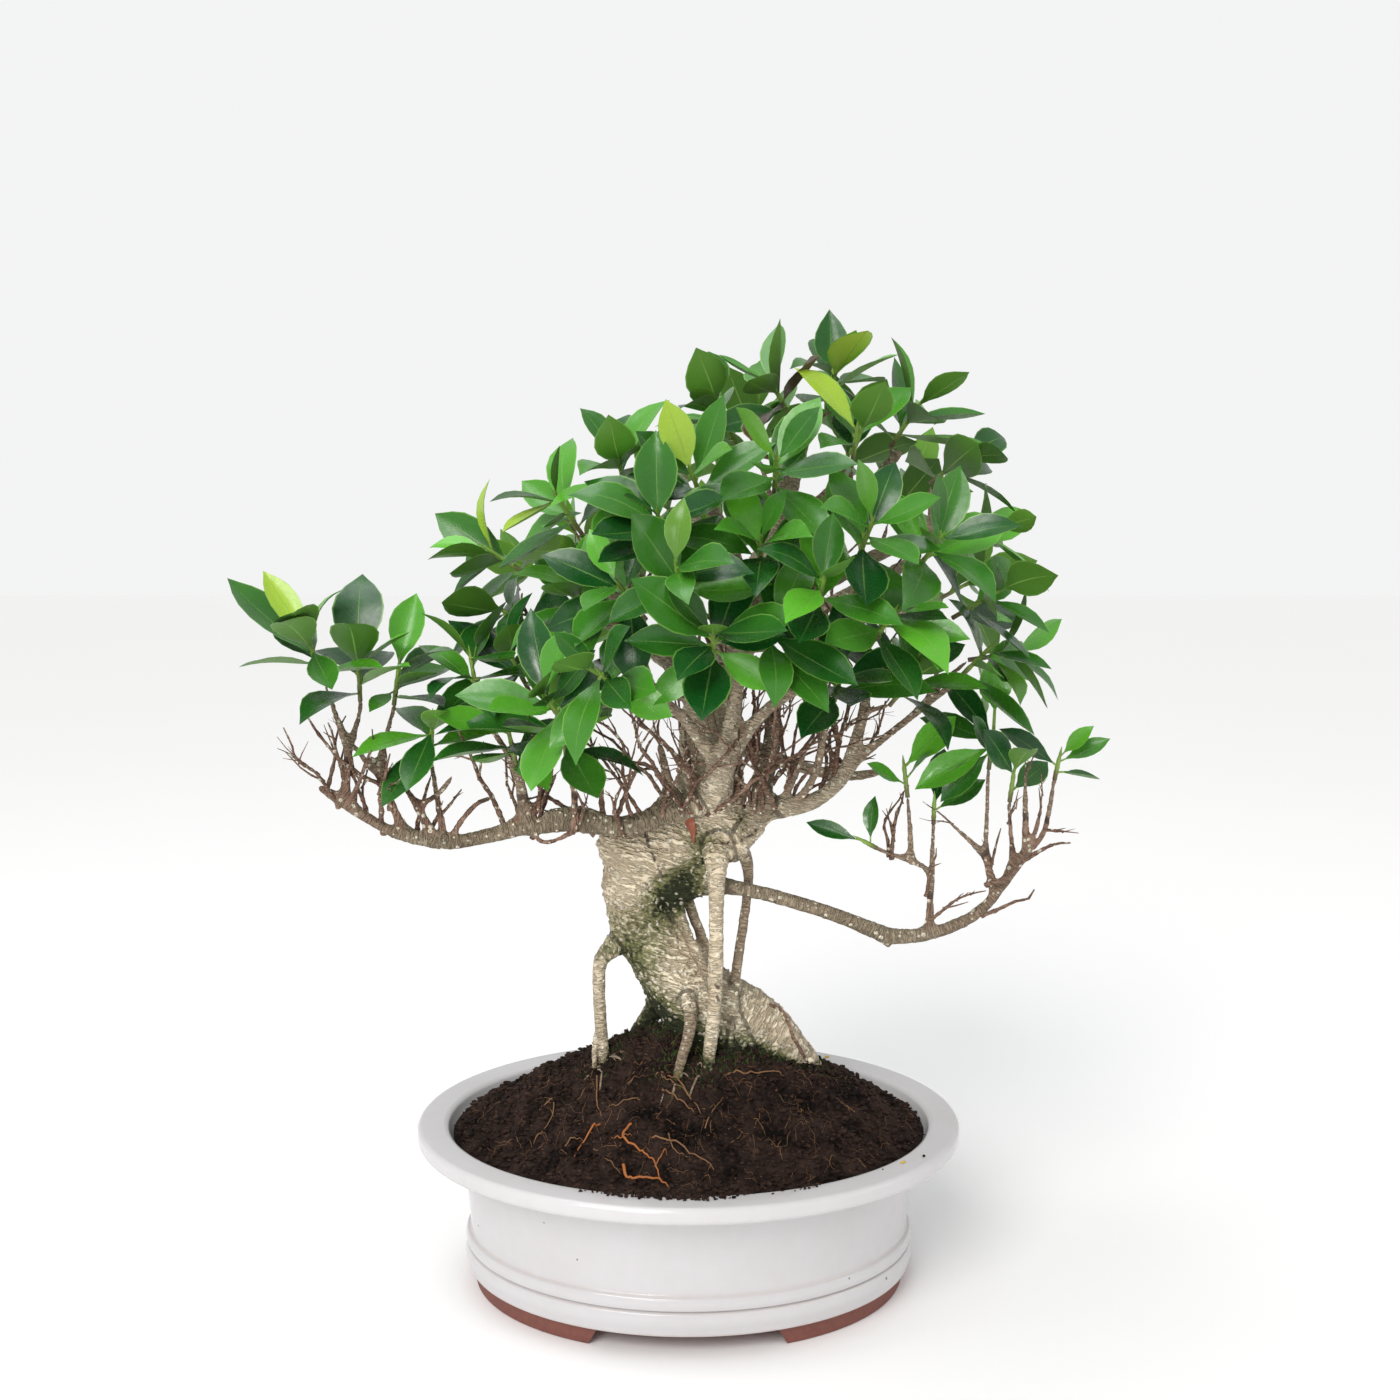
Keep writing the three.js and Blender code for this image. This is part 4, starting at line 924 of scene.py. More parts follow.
@dataclass
class Soil:
    """The heaped peat: a rough mound, loose crumbs, fibres and the fine roots that lie on it."""

    edge: float = 106.0
    top: float = 58.0
    spread: tuple[float, float] = (155.0, 107.0)
    heap: tuple[float, float, float, float] = (-12.0, -8.0, 9.0, 22.0)
    rim: float = 156.6
    rim_height: float = 102.4
    rings: int = 74
    sides: int = 264
    crumbs: int = 8600
    fibres: int = 420
    seed: int = 7
    inset: float = 16.0
    base: float = 80.0
    reach: float = 0.985
    lip: float = 160.0
    lip_top: float = 110.0
    outer_lip: tuple[float, float] = (172.0, 136.0)
    to_outer_lip: float = 140.0
    spilt: tuple[int, int] = (230, 34)
    petals: Rows = ((827, 1057, 5.0, 1), (883, 1126, 2.4, 0), (903, 1163, 4.2, 1))
    finish: Finish = EarthFinish("damp_peat", 0.86, 0.12)
    thread_finish: Finish = PlainFinish(
        "root_threads", 0.62, 0.35, (0.24, 0.125, 0.055), (0.070, 0.030, 0.018), 240.0, toned="tone"
    )
    bright_finish: Finish = PlainFinish(
        "young_roots", 0.5, 0.4, (0.42, 0.135, 0.028), (0.30, 0.10, 0.028), 200.0
    )
    petal_finish: Finish = PlainFinish("yellow_bits", 0.6, 0.3, (0.78, 0.56, 0.07), (0.62, 0.40, 0.05), 300.0)

    def height(self, x: float, y: float) -> float:
        """The mound's height in millimetres at a place from the pot's centre."""
        rise = max(0.0, 1 - ((x - 2) / self.spread[0]) ** 2 - (y / self.spread[1]) ** 2) ** 1.25
        near = ((x - self.heap[0]) ** 2 + (y - self.heap[1]) ** 2) / (2 * self.heap[3] ** 2)
        flat = self.edge - (y + 0.3 * x) / 50 + self.top * rise + self.heap[2] * math.exp(-near)
        out = math.hypot(x / self.rim, y / half_width(self.rim))
        drop = max(0.0, (out - 0.93) / 0.07)
        return flat + (self.rim_height - flat) * min(1.0, drop) ** 2

    def lumpy(self, x: float, y: float) -> float:
        """The height with its clods, in millimetres."""
        place = Vector((x, y, self.seed * 10.0))
        out = math.hypot(x / self.rim, y / half_width(self.rim))
        calm = min(1.0, max(0.0, (1 - out) * 12))
        clods = noise.noise(place * 0.055) * 2.6 + noise.noise(place * 0.16) * 2.2
        crumbs = (0.5 - noise.cell(place * 0.30)) * 0.8 + noise.noise(place * 0.40) * 2.0
        return self.height(x, y) + (clods + crumbs) * calm

    def _mound(self) -> Piece:
        """The mound's surface, closed below."""
        bpy.ops.mesh.primitive_circle_add(vertices=self.sides, radius=1, fill_type="NGON", location=(0, 0, 0))
        mound = bpy.context.object
        inner = (self.rim - self.inset, half_width(self.rim) - self.inset)
        with editing(mound):
            bpy.ops.transform.resize(value=(inner[0] * MM, inner[1] * MM, 1))
            bpy.ops.transform.translate(value=tuple(point(0, 0, self.base)))
            rise = (0, 0, (self.rim_height - self.base) * MM)
            middle = tuple(point(0, 0, self.rim_height))
            bpy.ops.mesh.extrude_region_move(TRANSFORM_OT_translate={"value": rise})
            for ring in range(self.rings):
                share, before = 1 - (ring + 1) / (self.rings + 1), 1 - ring / (self.rings + 1)
                bpy.ops.mesh.extrude_region_move()
                step = share / before
                bpy.ops.transform.resize(value=(step, step, 1), center_override=middle)
            bpy.ops.mesh.merge(type="CENTER")
            face_outward()
        places, _ = arrays_of(mound)
        ratio = (self.rim / inner[0], half_width(self.rim) / inner[1])
        for row in places:
            if row[2] > (self.rim_height - 1) * MM:
                x = (row[0] - POT_CENTRE.x) / MM * ratio[0]
                y = (row[1] - POT_CENTRE.y) / MM * ratio[1]
                row[:] = point(x, y, self.lumpy(x, y))
        set_places(mound, places)
        smooth(mound)
        return settle(mound, "soil_mound")

    def _spot(self, rng: random.Random) -> tuple[float, float]:
        """A place on the mound, in millimetres."""
        turn, out = rng.uniform(0, math.tau), math.sqrt(rng.random()) * self.reach
        return (self.rim * out * math.cos(turn), half_width(self.rim) * out * math.sin(turn))

    def _crumb_shapes(self) -> list[tuple[np.ndarray, list[Face]]]:
        """Four uneven crumbs of twenty faces, a unit across."""
        shapes = []
        for kind in range(4):
            bpy.ops.mesh.primitive_ico_sphere_add(subdivisions=1, radius=0.5, location=(0, 0, 0))
            crumb = bpy.context.object
            with editing(crumb):
                bpy.ops.transform.vertex_random(offset=0.16, seed=self.seed + kind)
                bpy.ops.transform.resize(value=(1, 0.8 - 0.1 * kind, 0.65 - 0.1 * kind))
            shapes.append(taken(crumb))
        return shapes

    def _spilt(self, x: float, out: float, size: float) -> Vector:
        """Where a spilt crumb lies: on the lip's inner edge, on its flat or at its outer edge."""
        beyond = x > self.to_outer_lip
        if beyond:
            wide, deep = self.outer_lip
            y = -math.sqrt(max(0.0, 1 - (x / wide) ** 2)) * deep
        else:
            y = -half_width(self.lip) * math.sqrt(1 - (x / self.lip) ** 2) - max(-1.0, out * 0.75)
        return point(x, y, self.lip_top + size * 0.2 if out > 1.0 or beyond else self.lip_top - 1.5)

    def _scatter(self) -> Piece:
        """Loose crumbs over the mound, some of them spilt on the lip."""
        rng = random.Random(self.seed)
        shapes = self._crumb_shapes()
        front, right = self.spilt
        spilt = [
            (rng.gauss(-9, 20), rng.uniform(-2, 6) + rng.uniform(0, 6), rng.uniform(1.4, 3.8))
            for _ in range(front)
        ]
        spilt += [(rng.gauss(73, 9), rng.uniform(1, 8), rng.uniform(1.0, 2.2)) for _ in range(right)]
        spilt += [(148.0, 12.0, 2.6), (120.0, 9.0, 1.4), (-64.0, 5.0, 1.5)]
        copies = Copies()
        for number in range(self.crumbs + len(spilt)):
            loose = number < self.crumbs
            if loose:
                x, y = self._spot(rng)
                size = 1.5 + 4.4 * rng.random() ** 2.2
                place = point(x, y, self.lumpy(x, y) + size * 0.20)
            else:
                size = spilt[number - self.crumbs][2]
                place = self._spilt(*spilt[number - self.crumbs])
            shape, sides = shapes[number % len(shapes)]
            turn = Matrix.Rotation(rng.uniform(0, math.tau), 3, "Z")
            turn = turn @ Matrix.Rotation(rng.uniform(-0.6, 0.6), 3, "X")
            long = rng.uniform(0.8, 1.7) if loose else 1.0
            scale = np.array((size * long, size, size)) * MM
            tone = rng.random() ** 1.8 * (1.0 if size < 2.4 else 0.55)
            copies.add((shape * scale) @ np.array(turn).T + np.array(place), sides, tone)
        return copies.piece("soil_crumbs")

    def _laid(self, points: Sequence[tuple[float, float]], radius: float, lift: float, steps: int) -> Strand:
        """A strand over the mound through places in millimetres, tapering, half sunk at its ends."""
        line = smooth_path(points, steps)
        path = []
        for number, (x, y) in enumerate(line):
            share = number / (len(line) - 1)
            high = lift * math.sin(math.pi * min(1.0, share * 1.02)) ** 0.5 - radius * 0.6
            thick = radius * (0.35 + 0.65 * (1 - share) ** 0.7) * MM
            path.append((point(x, y, self.lumpy(x, y) + high + radius), thick))
        return path

    def _threads(self) -> Piece:
        """Short fine fibres that lie all over the peat."""
        rng = random.Random(self.seed + 1)
        paths, tones = [], []
        for _ in range(self.fibres):
            x, y = self._spot(rng)
            turn = rng.uniform(0, math.tau)
            points = [(x, y)]
            for _ in range(rng.choice((2, 3, 3, 4))):
                turn += rng.gauss(0, 0.55)
                step = rng.uniform(2.5, 6.5)
                points.append((points[-1][0] + step * math.cos(turn), points[-1][1] + step * math.sin(turn)))
            if any(math.hypot(px / self.rim, py / half_width(self.rim)) > self.reach for px, py in points):
                continue
            paths.append(self._laid(points, rng.uniform(0.14, 0.30), rng.uniform(0.5, 1.8), 3))
            tones.append(rng.random())
        threads = tubes("root_threads", paths, 4)
        places, _ = arrays_of(threads)
        spots = np.array([tuple(path[len(path) // 2][0]) for path in paths])
        nearest = np.argmin(((places[:, None, :] - spots[None, :, :]) ** 2).sum(2), axis=1)
        mark(threads, "tone", np.array(tones)[nearest])
        return threads

    def _surface_roots(self, camera: "Studio") -> list[Piece]:
        """The bright young roots and the brown older ones that run down the front of the mound."""
        bright = (
            (((631, 1127), (623, 1143), (640, 1155), (655, 1170), (660, 1182)), 1.15),
            (((623, 1168), (628, 1182), (650, 1183), (672, 1189)), 1.5),
            (((600, 1125), (590, 1140), (574, 1160)), 1.0),
            (((655, 1170), (664, 1162), (667, 1160)), 0.6),
            (((610, 1142), (623, 1143), (632, 1140)), 0.6),
        )
        brown = (
            (((652, 1144), (680, 1152), (715, 1172)), 0.9),
            (((655, 1079), (672, 1082), (690, 1100), (702, 1114)), 0.8),
            (((662, 1095), (680, 1103), (696, 1120)), 0.75),
            (((660, 1080), (668, 1090), (690, 1098)), 0.6),
            (((597, 1078), (597, 1095), (597, 1110), (602, 1122)), 0.8),
            (((540, 1110), (553, 1107), (551, 1125), (533, 1148)), 0.7),
            (((722, 1076), (747, 1079), (773, 1076), (787, 1080)), 0.8),
            (((594, 1154), (606, 1166), (621, 1178)), 0.6),
            (((668, 1137), (673, 1155), (690, 1162)), 0.6),
            (((565, 1148), (575, 1143), (583, 1142)), 0.6),
            (((640, 1100), (618, 1112), (604, 1116)), 0.5),
            (((705, 1130), (716, 1112), (724, 1098)), 0.5),
        )
        made = []
        for name, rows, lift in (("young_roots", bright, 3.2), ("brown_roots", brown, 2.5)):
            paths = []
            for row, size in rows:
                spots = [camera.on_surface(u, v, self.height) for u, v in row]
                paths.append(self._laid(spots, 0.74 * size, lift, 7))
            made.append(tubes(name, paths, 8))
        return made

    def make(self, camera: "Studio") -> list[Piece]:
        """Models and dresses the soil and what lies on it.

        Args:
            camera: The studio, whose view places the roots that show.

        Returns:
            The pieces, the mound first.
        """
        peat = self.finish.make()
        mound = self._mound()
        crumbs = self._scatter()
        threads = self._threads()
        young, brown = self._surface_roots(camera)
        bits = self._yellow_bits(camera)
        thread = self.thread_finish.make()
        dress = ((mound, peat), (crumbs, peat), (threads, thread), (young, self.bright_finish.make()))
        dress += ((brown, thread), (bits, self.petal_finish.make()))
        for piece, material in dress:
            piece.data.materials.append(material)
            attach(piece, "root")
        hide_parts("soil")
        return [piece for piece, _ in dress]

    def _yellow_bits(self, camera: "Studio") -> Piece:
        """Three yellow flecks of fallen petal, one on the peat and two on the lip."""
        shapes = []
        for u, v, size, on_lip in self.petals:
            x, y = camera.on_surface(u, v, lambda x, y: self.lip_top + 0.4 if on_lip else self.height(x, y))
            high = self.lip_top + 0.5 if on_lip else self.lumpy(x, y) + 1.2
            bpy.ops.mesh.primitive_uv_sphere_add(segments=10, ring_count=6, radius=size / 2 * MM)
            bit = bpy.context.object
            bit.scale = (1, 0.6, 0.22)
            bit.rotation_euler = (0.1, 0.15, u * 0.7)
            bit.location = point(x, y, high)
            shapes.append(bit)
        bits = join(shapes)
        smooth(bits)
        return settle(bits, "yellow_bits")


@dataclass
class Wood:
    """Trunk, air roots, limbs and twigs: the solid rounded off, with bark that follows each limb."""

    voxel: float = 0.00108
    cut_height: float = 395.0
    most_faces: int = 190000
    axes: tuple[Rows, ...] = (
        ((22, 8, 95, 30), (22, 6, 128, 31), (17, 4, 160, 30), (8, 2, 185, 27), (-22, -2, 227, 21),
         (-33, -2, 247, 20), (-37, -3, 268, 20), (-32, -4, 285, 22), (-13, -4, 290, 20),
         (5, -2, 298, 21), (15, 0, 314, 24), (13, 0, 375, 19), (17, 4, 396, 16), (24, 8, 418, 14),
         (46, 10, 467, 10), (75, 0, 563, 4)),
        ((5, 4, 198, 16), (26, 6, 185, 19), (48, 6, 170, 19), (67, 6, 152, 16), (98, 2, 111, 6)),
        ((-11, 10, 196, 9), (-36, 14, 159, 5), (-66, 14, 118, 3.4)),
        ((18, 20, 168, 17), (32, 45, 138, 12), (43, 60, 103, 8)),
        ((-3, -20, 201, 6), (2, -30, 192, 5), (1, -38, 179, 4.2), (-8, -48, 149, 3.2)),
        ((-42, -6, 233, 9), (-58, -14, 222, 5.2), (-59, -15, 204, 4.2), (-54, -18, 130, 4)),
        ((18, -24, 299, 10), (18, -32, 286, 6.8), (18, -36, 270, 4.6), (18, -38, 201, 4.7),
         (10, -38, 136, 4.2)),
        ((30, -8, 300, 7), (38, -2, 286, 4.8), (40, 0, 272, 3.6), (38, 0, 254, 3.4), (31, -8, 209, 3.4),
         (26, -22, 166, 3.6), (23, -26, 133, 3.4)),
        ((13, -14, 327, 9), (3, -25, 325, 7.6), (-10, -30, 322, 7.2), (-40, -35, 312, 7.4),
         (-71, -37, 318, 6.6), (-106, -38, 313, 4.6), (-144, -38, 304, 4.8), (-191, -38, 312, 3.8),
         (-231, -38, 339, 2.7)),
        ((1, -2, 271, 8), (30, -14, 269, 4.8), (95, -20, 253, 4.6), (129, -20, 238, 5.2),
         (165, -20, 242, 4.2), (195, -20, 261, 3.5), (218, -20, 294, 2.8)),
        ((30, -14, 299, 9), (42, -20, 310, 8.6), (45, -20, 328, 6.4), (56, -10, 368, 6.4)),
    )
    paleness: tuple[float, ...] = (0.5, 1.0, 0.5, 0.5, 0.3, 0.9, 1.0, 0.45, 0.0, 0.15, 0.0)
    dashes: tuple[float, float, float] = (0.28, 0.0, 0.96)
    damp: Rows = (
        (-3, -14, 272, 10.5, 1.0), (14, -18, 292, 7, 0.6), (-16, -12, 262, 11, 0.6),
        (-28, -16, 240, 15, 0.42), (-40, -6, 228, 13, 0.42), (-20, -4, 196, 12, 0.62),
        (-8, -8, 178, 14, 0.8), (6, -14, 160, 18, 0.75), (-30, 8, 165, 20, 0.5),
        (30, -14, 140, 16, 0.9), (50, -8, 135, 16, 0.5), (12, -38, 140, 14, 0.5),
        (24, -24, 138, 12, 0.6), (-58, -16, 228, 8, 0.3), (10, 22, 290, 24, 0.5),
        (-20, 14, 250, 22, 0.3), (20, 30, 150, 30, 0.7), (22, 16, 340, 22, 0.25),
        (4, -20, 306, 8, 0.45), (18, -26, 296, 7, 0.4), (36, -18, 312, 7, 0.45),
        (-30, -18, 215, 12, 0.35), (-44, -12, 255, 9, 0.25),
    )
    shrunk: Rows = (
        (0.4, 1.9), (1.2, 1.62), (1.9, 1.28), (3.0, 1.16), (5.0, 1.13), (10.0, 1.09), (18.0, 1.06),
        (60.0, 1.0),
    )
    cracks: tuple[Rows, ...] = (
        ((646, 833), (649, 846), (655, 860), (663, 877)),
        ((760, 826), (752, 836), (738, 842), (722, 843)), ((715, 984), (719, 988)), ((716, 996), (719, 1000)),
    )
    deepest: float = 20.0
    regrown: float = 0.92
    most_regrown: float = 2.0
    smoothing_gain: float = 1.25
    apart: float = 37.0
    crack_width: float = 1.7
    foot_damp: tuple[float, float] = (0.5, 0.28)
    foot_reach: float = 14.0
    right_root: float = 34.0
    underside_green_and_shade: float = 0.16
    crown_from: float = 330.0
    smoothing: tuple[float, ...] = (0.6, -0.62, 0.6, -0.62, 0.6, -0.55, 0.5)
    finish: Finish = BarkFinish("banyan_bark", 0.74, 0.3)

    def _half_depth(self, piece: Piece) -> np.ndarray:
        """Half the wood's depth under each vertex, in millimetres, blurred over its neighbours."""
        places, _ = arrays_of(piece)
        tree = tree_of(piece)
        found = np.full(len(places), self.deepest)
        for number, (place, normal) in enumerate(zip(places, normals_of(piece))):
            inward = -Vector(normal)
            hit = tree.ray_cast(Vector(place) + inward * 0.0001, inward, 4 * self.deepest * MM)
            if hit[0] is not None:
                found[number] = min(self.deepest, hit[3] / MM / 2)
        return average(piece, found, 3)

    def _skin(self) -> Piece:
        """The wood's solid, merged, rounded, brought back to its girth and meshed evenly."""
        skin = linked("wood_skin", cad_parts["wood"].data.copy())
        skin.data.materials.clear()
        merge_doubles(skin)
        apply_modifier(skin, "SUBSURF", levels=2, render_levels=2)
        half = self._half_depth(skin)
        steps, ratios = zip(*self.shrunk)
        grow = half * (np.interp(half, steps, ratios) - 1) * self.regrown
        places, _ = arrays_of(skin)
        set_places(skin, places + normals_of(skin) * np.minimum(grow, self.most_regrown)[:, None] * MM)
        apply_modifier(skin, "REMESH", mode="VOXEL", voxel_size=self.voxel)
        places, _ = arrays_of(skin)
        for step in self.smoothing:
            places = places + (average(skin, places, 1) - places) * step * self.smoothing_gain
        set_places(skin, places)
        return skin

    def _along(self, places: np.ndarray) -> tuple[np.ndarray, np.ndarray, np.ndarray]:
        """Each place's distance along the nearest limb, how many radii off it is, and the limb's number."""
        best = np.full(len(places), 1e9)
        along, limb = np.zeros(len(places)), np.zeros(len(places), int)
        local = local_mm(places)
        start_at = 0.0
        for number, axis in enumerate(self.axes):
            line = np.array(smooth_path(axis, 4))
            for start, end in zip(line, line[1:]):
                run = end[:3] - start[:3]
                length = np.linalg.norm(run)
                share = np.clip((local - start[:3]) @ run / length**2, 0, 1)
                gap = np.linalg.norm(local - start[:3] - share[:, None] * run, axis=1)
                radius = start[3] + share * (end[3] - start[3])
                ratio = gap / radius
                nearer = ratio < best
                best = np.where(nearer, ratio, best)
                along = np.where(nearer, start_at + share * length, along)
                limb = np.where(nearer, number, limb)
                start_at += length
            start_at += self.apart
        return np.where(limb == 0, local @ np.array(self.dashes), along), best, limb

    def _dampness(self, places: np.ndarray, normals: np.ndarray, soil: Soil) -> np.ndarray:
        """How damp and green each place is: hollows, undersides and the foot of the trunk; in the hollows and
        on the undersides this is partly algae and partly painted shade.
        """
        local = local_mm(places)
        wet = np.zeros(len(places))
        for x, y, z, size, amount in self.damp:
            gap = ((local - np.array((x, y, z))) ** 2).sum(1)
            wet += amount * np.exp(-gap / (2 * size**2))
        low = np.array([z - soil.height(x, y) for x, y, z in local])
        most, on_right = self.foot_damp
        amount = np.where(local[:, 0] > self.right_root, on_right, most)
        foot = np.clip(1 - low / self.foot_reach, 0, 1) * amount
        # Down-facing undersides below the crown lean to the algae colour: partly algae, partly painted shade.
        under = np.clip(-normals[:, 2], 0, 1) * self.underside_green_and_shade * (local[:, 2] < self.crown_from)
        return np.clip(wet + foot + under, 0, 1.3)

    def _cracked(self, places: np.ndarray, studio: "Studio") -> np.ndarray:
        """How near each place is to one of the dark cracks in the bark that the view shows."""
        seen = np.array([studio.project(Vector(row)) for row in places])
        front = places[:, 1] < POT_CENTRE.y + 4 * MM
        found = np.zeros(len(places))
        for line in self.cracks:
            for start, end in zip(np.array(line[:-1]), np.array(line[1:])):
                run = end - start
                share = np.clip((seen - start) @ run / (run @ run), 0, 1)
                gap = np.linalg.norm(seen - start - share[:, None] * run, axis=1)
                found = np.maximum(found, np.exp(-((gap / self.crack_width) ** 2)))
        uneven = np.array([0.75 + noise.noise(Vector(row) * 420) for row in places])
        return found * front * np.clip(uneven, 0, 1)

    def _carve(self, skin: Piece, soil: Soil, studio: "Studio") -> None:
        """Gives the bark its cross ridges, dents and knots, and marks it for the finish."""
        places, _ = arrays_of(skin)
        normals = normals_of(skin)
        half = self._half_depth(skin)
        along, away, limb = self._along(places)
        follow = np.clip(2.2 - away, 0, 1)
        along = average(skin, along, 1)
        push = np.zeros(len(places))
        for i, (x, y, z) in enumerate(places / MM):
            thick = min(1.0, max(0.0, (half[i] - 3.0) / 8))
            far = Vector((x, y, z))
            dent = noise.noise(far * 0.045) * 1.2 + noise.noise(far * 0.11) * 0.7
            ridge = noise.noise(Vector((x * 0.06, y * 0.06, along[i] * 0.34 + z * 0.02)))
            wart = max(0.0, noise.noise(Vector((x * 0.24, y * 0.24, along[i] * 0.5))) - 0.08)
            push[i] = thick * (dent + ridge * follow[i] + wart * 1.7 - 0.25)
            push[i] += (1 - thick) * (noise.noise(far * 0.16) * 0.30 + noise.noise(far * 0.42) * 0.30)
        set_places(skin, places + normals * push[:, None] * MM)
        mark(skin, "along", along * MM)
        mark(skin, "girth", half * MM)
        mark(skin, "rooted", average(skin, np.array(self.paleness)[limb], 4))
        mark(skin, "damp", self._dampness(places, normals, soil))
        mark(skin, "crack", self._cracked(places, studio))

    def make(self, soil: Soil, studio: "Studio") -> list[Piece]:
        """Models and dresses the wood as the trunk with its low branches, and the crown's limbs above it."""
        skin = self._skin()
        self._carve(skin, soil, studio)
        skin.data.materials.append(self.finish.make())
        level = tuple(point(0, 0, self.cut_height))
        pieces = []
        for name, keep_low in (("trunk_and_roots", True), ("crown_limbs", False)):
            part = linked(name, skin.data.copy())
            clear = {"clear_outer": keep_low, "clear_inner": not keep_low}
            with editing(part):
                bpy.ops.mesh.bisect(plane_co=level, plane_no=(0, 0, 1), use_fill=True, **clear)
            faces = sum(len(side.vertices) - 2 for side in part.data.polygons)
            if faces > self.most_faces:
                apply_modifier(part, "DECIMATE", ratio=self.most_faces / faces)
            smooth(part, 65)
            settle(part, name)
            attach(part, "root")
            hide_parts("wood")
            pieces.append(part)
        bpy.data.objects.remove(skin)
        return pieces


@dataclass
class Moss:
    """Dark moss: short leaning spikes round the foot of the trunk and in its damp hollows."""

    on_soil: int = 3000
    on_bark: int = 1100
    reach: float = 15.0
    seed: int = 11
    wet_from: float = 0.78
    spike: float = 0.16
    sunk: float = 0.0004
    finish: Finish = PlainFinish(
        "dark_moss", 0.8, 0.25, (0.010, 0.017, 0.005), (0.050, 0.078, 0.016), 160.0, toned="tone"
    )

    def make(self, trunk: Piece, soil: Soil) -> Piece:
        """Scatters and dresses the moss.

        Args:
            trunk: The dressed trunk, whose damp mark says where moss grows.
            soil: The mound it also grows on.

        Returns:
            The piece.
        """
        rng = random.Random(self.seed)
        cone = {"radius1": self.spike, "radius2": 0, "depth": 1}
        bpy.ops.mesh.primitive_cone_add(vertices=3, location=(0, 0, 0.5), **cone)
        shape, sides = taken(place_applied(bpy.context.object))
        tree = tree_of(trunk)
        wood, _ = arrays_of(trunk)
        damp = np.empty(len(wood), np.float32)
        trunk.data.attributes["damp"].data.foreach_get("value", damp)
        wet = np.flatnonzero(damp > self.wet_from)
        normals = normals_of(trunk)
        spots = []
        for _ in range(self.on_bark):
            i = int(wet[rng.randrange(len(wet))])
            spots.append((Vector(wood[i]), Vector(normals[i]), rng.uniform(0.6, 1.7)))
        while len(spots) < self.on_bark + self.on_soil:
            x, y = rng.gauss(10, 40), rng.gauss(-2, 34)
            place = point(x, y, soil.lumpy(x, y))
            near = tree.find_nearest(place, self.reach * MM)
            if near[0] is None or rng.random() * self.reach * MM < near[3] * 0.9:
                continue
            spots.append((place, Vector((0, 0, 1)), rng.uniform(1.5, 4.5)))
        copies = Copies()
        for place, normal, size in spots:
            lean = Vector((rng.gauss(0, 0.5), rng.gauss(0, 0.5), rng.gauss(0.25, 0.4)))
            way = (normal + lean).normalized()
            turn = Vector((0, 0, 1)).rotation_difference(way).to_matrix()
            wide = rng.uniform(0.7, 1.5)
            scale = np.array((size * wide, size * wide, size)) * MM
            stood = (shape * scale) @ np.array(turn).T + np.array(place - way * self.sunk)
            copies.add(stood, sides, rng.random() ** 2)
        moss = copies.piece("moss")
        moss.data.materials.append(self.finish.make())
        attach(moss, "root")
        return moss


@dataclass(frozen=True)
class TwigZone:
    """Where twigs leave the wood, how long they grow and which way they lean."""

    count: int
    low: tuple[float, float, float]
    high: tuple[float, float, float]
    length: tuple[float, float]
    lean: tuple[float, float, float]
    girth: float = 1.0


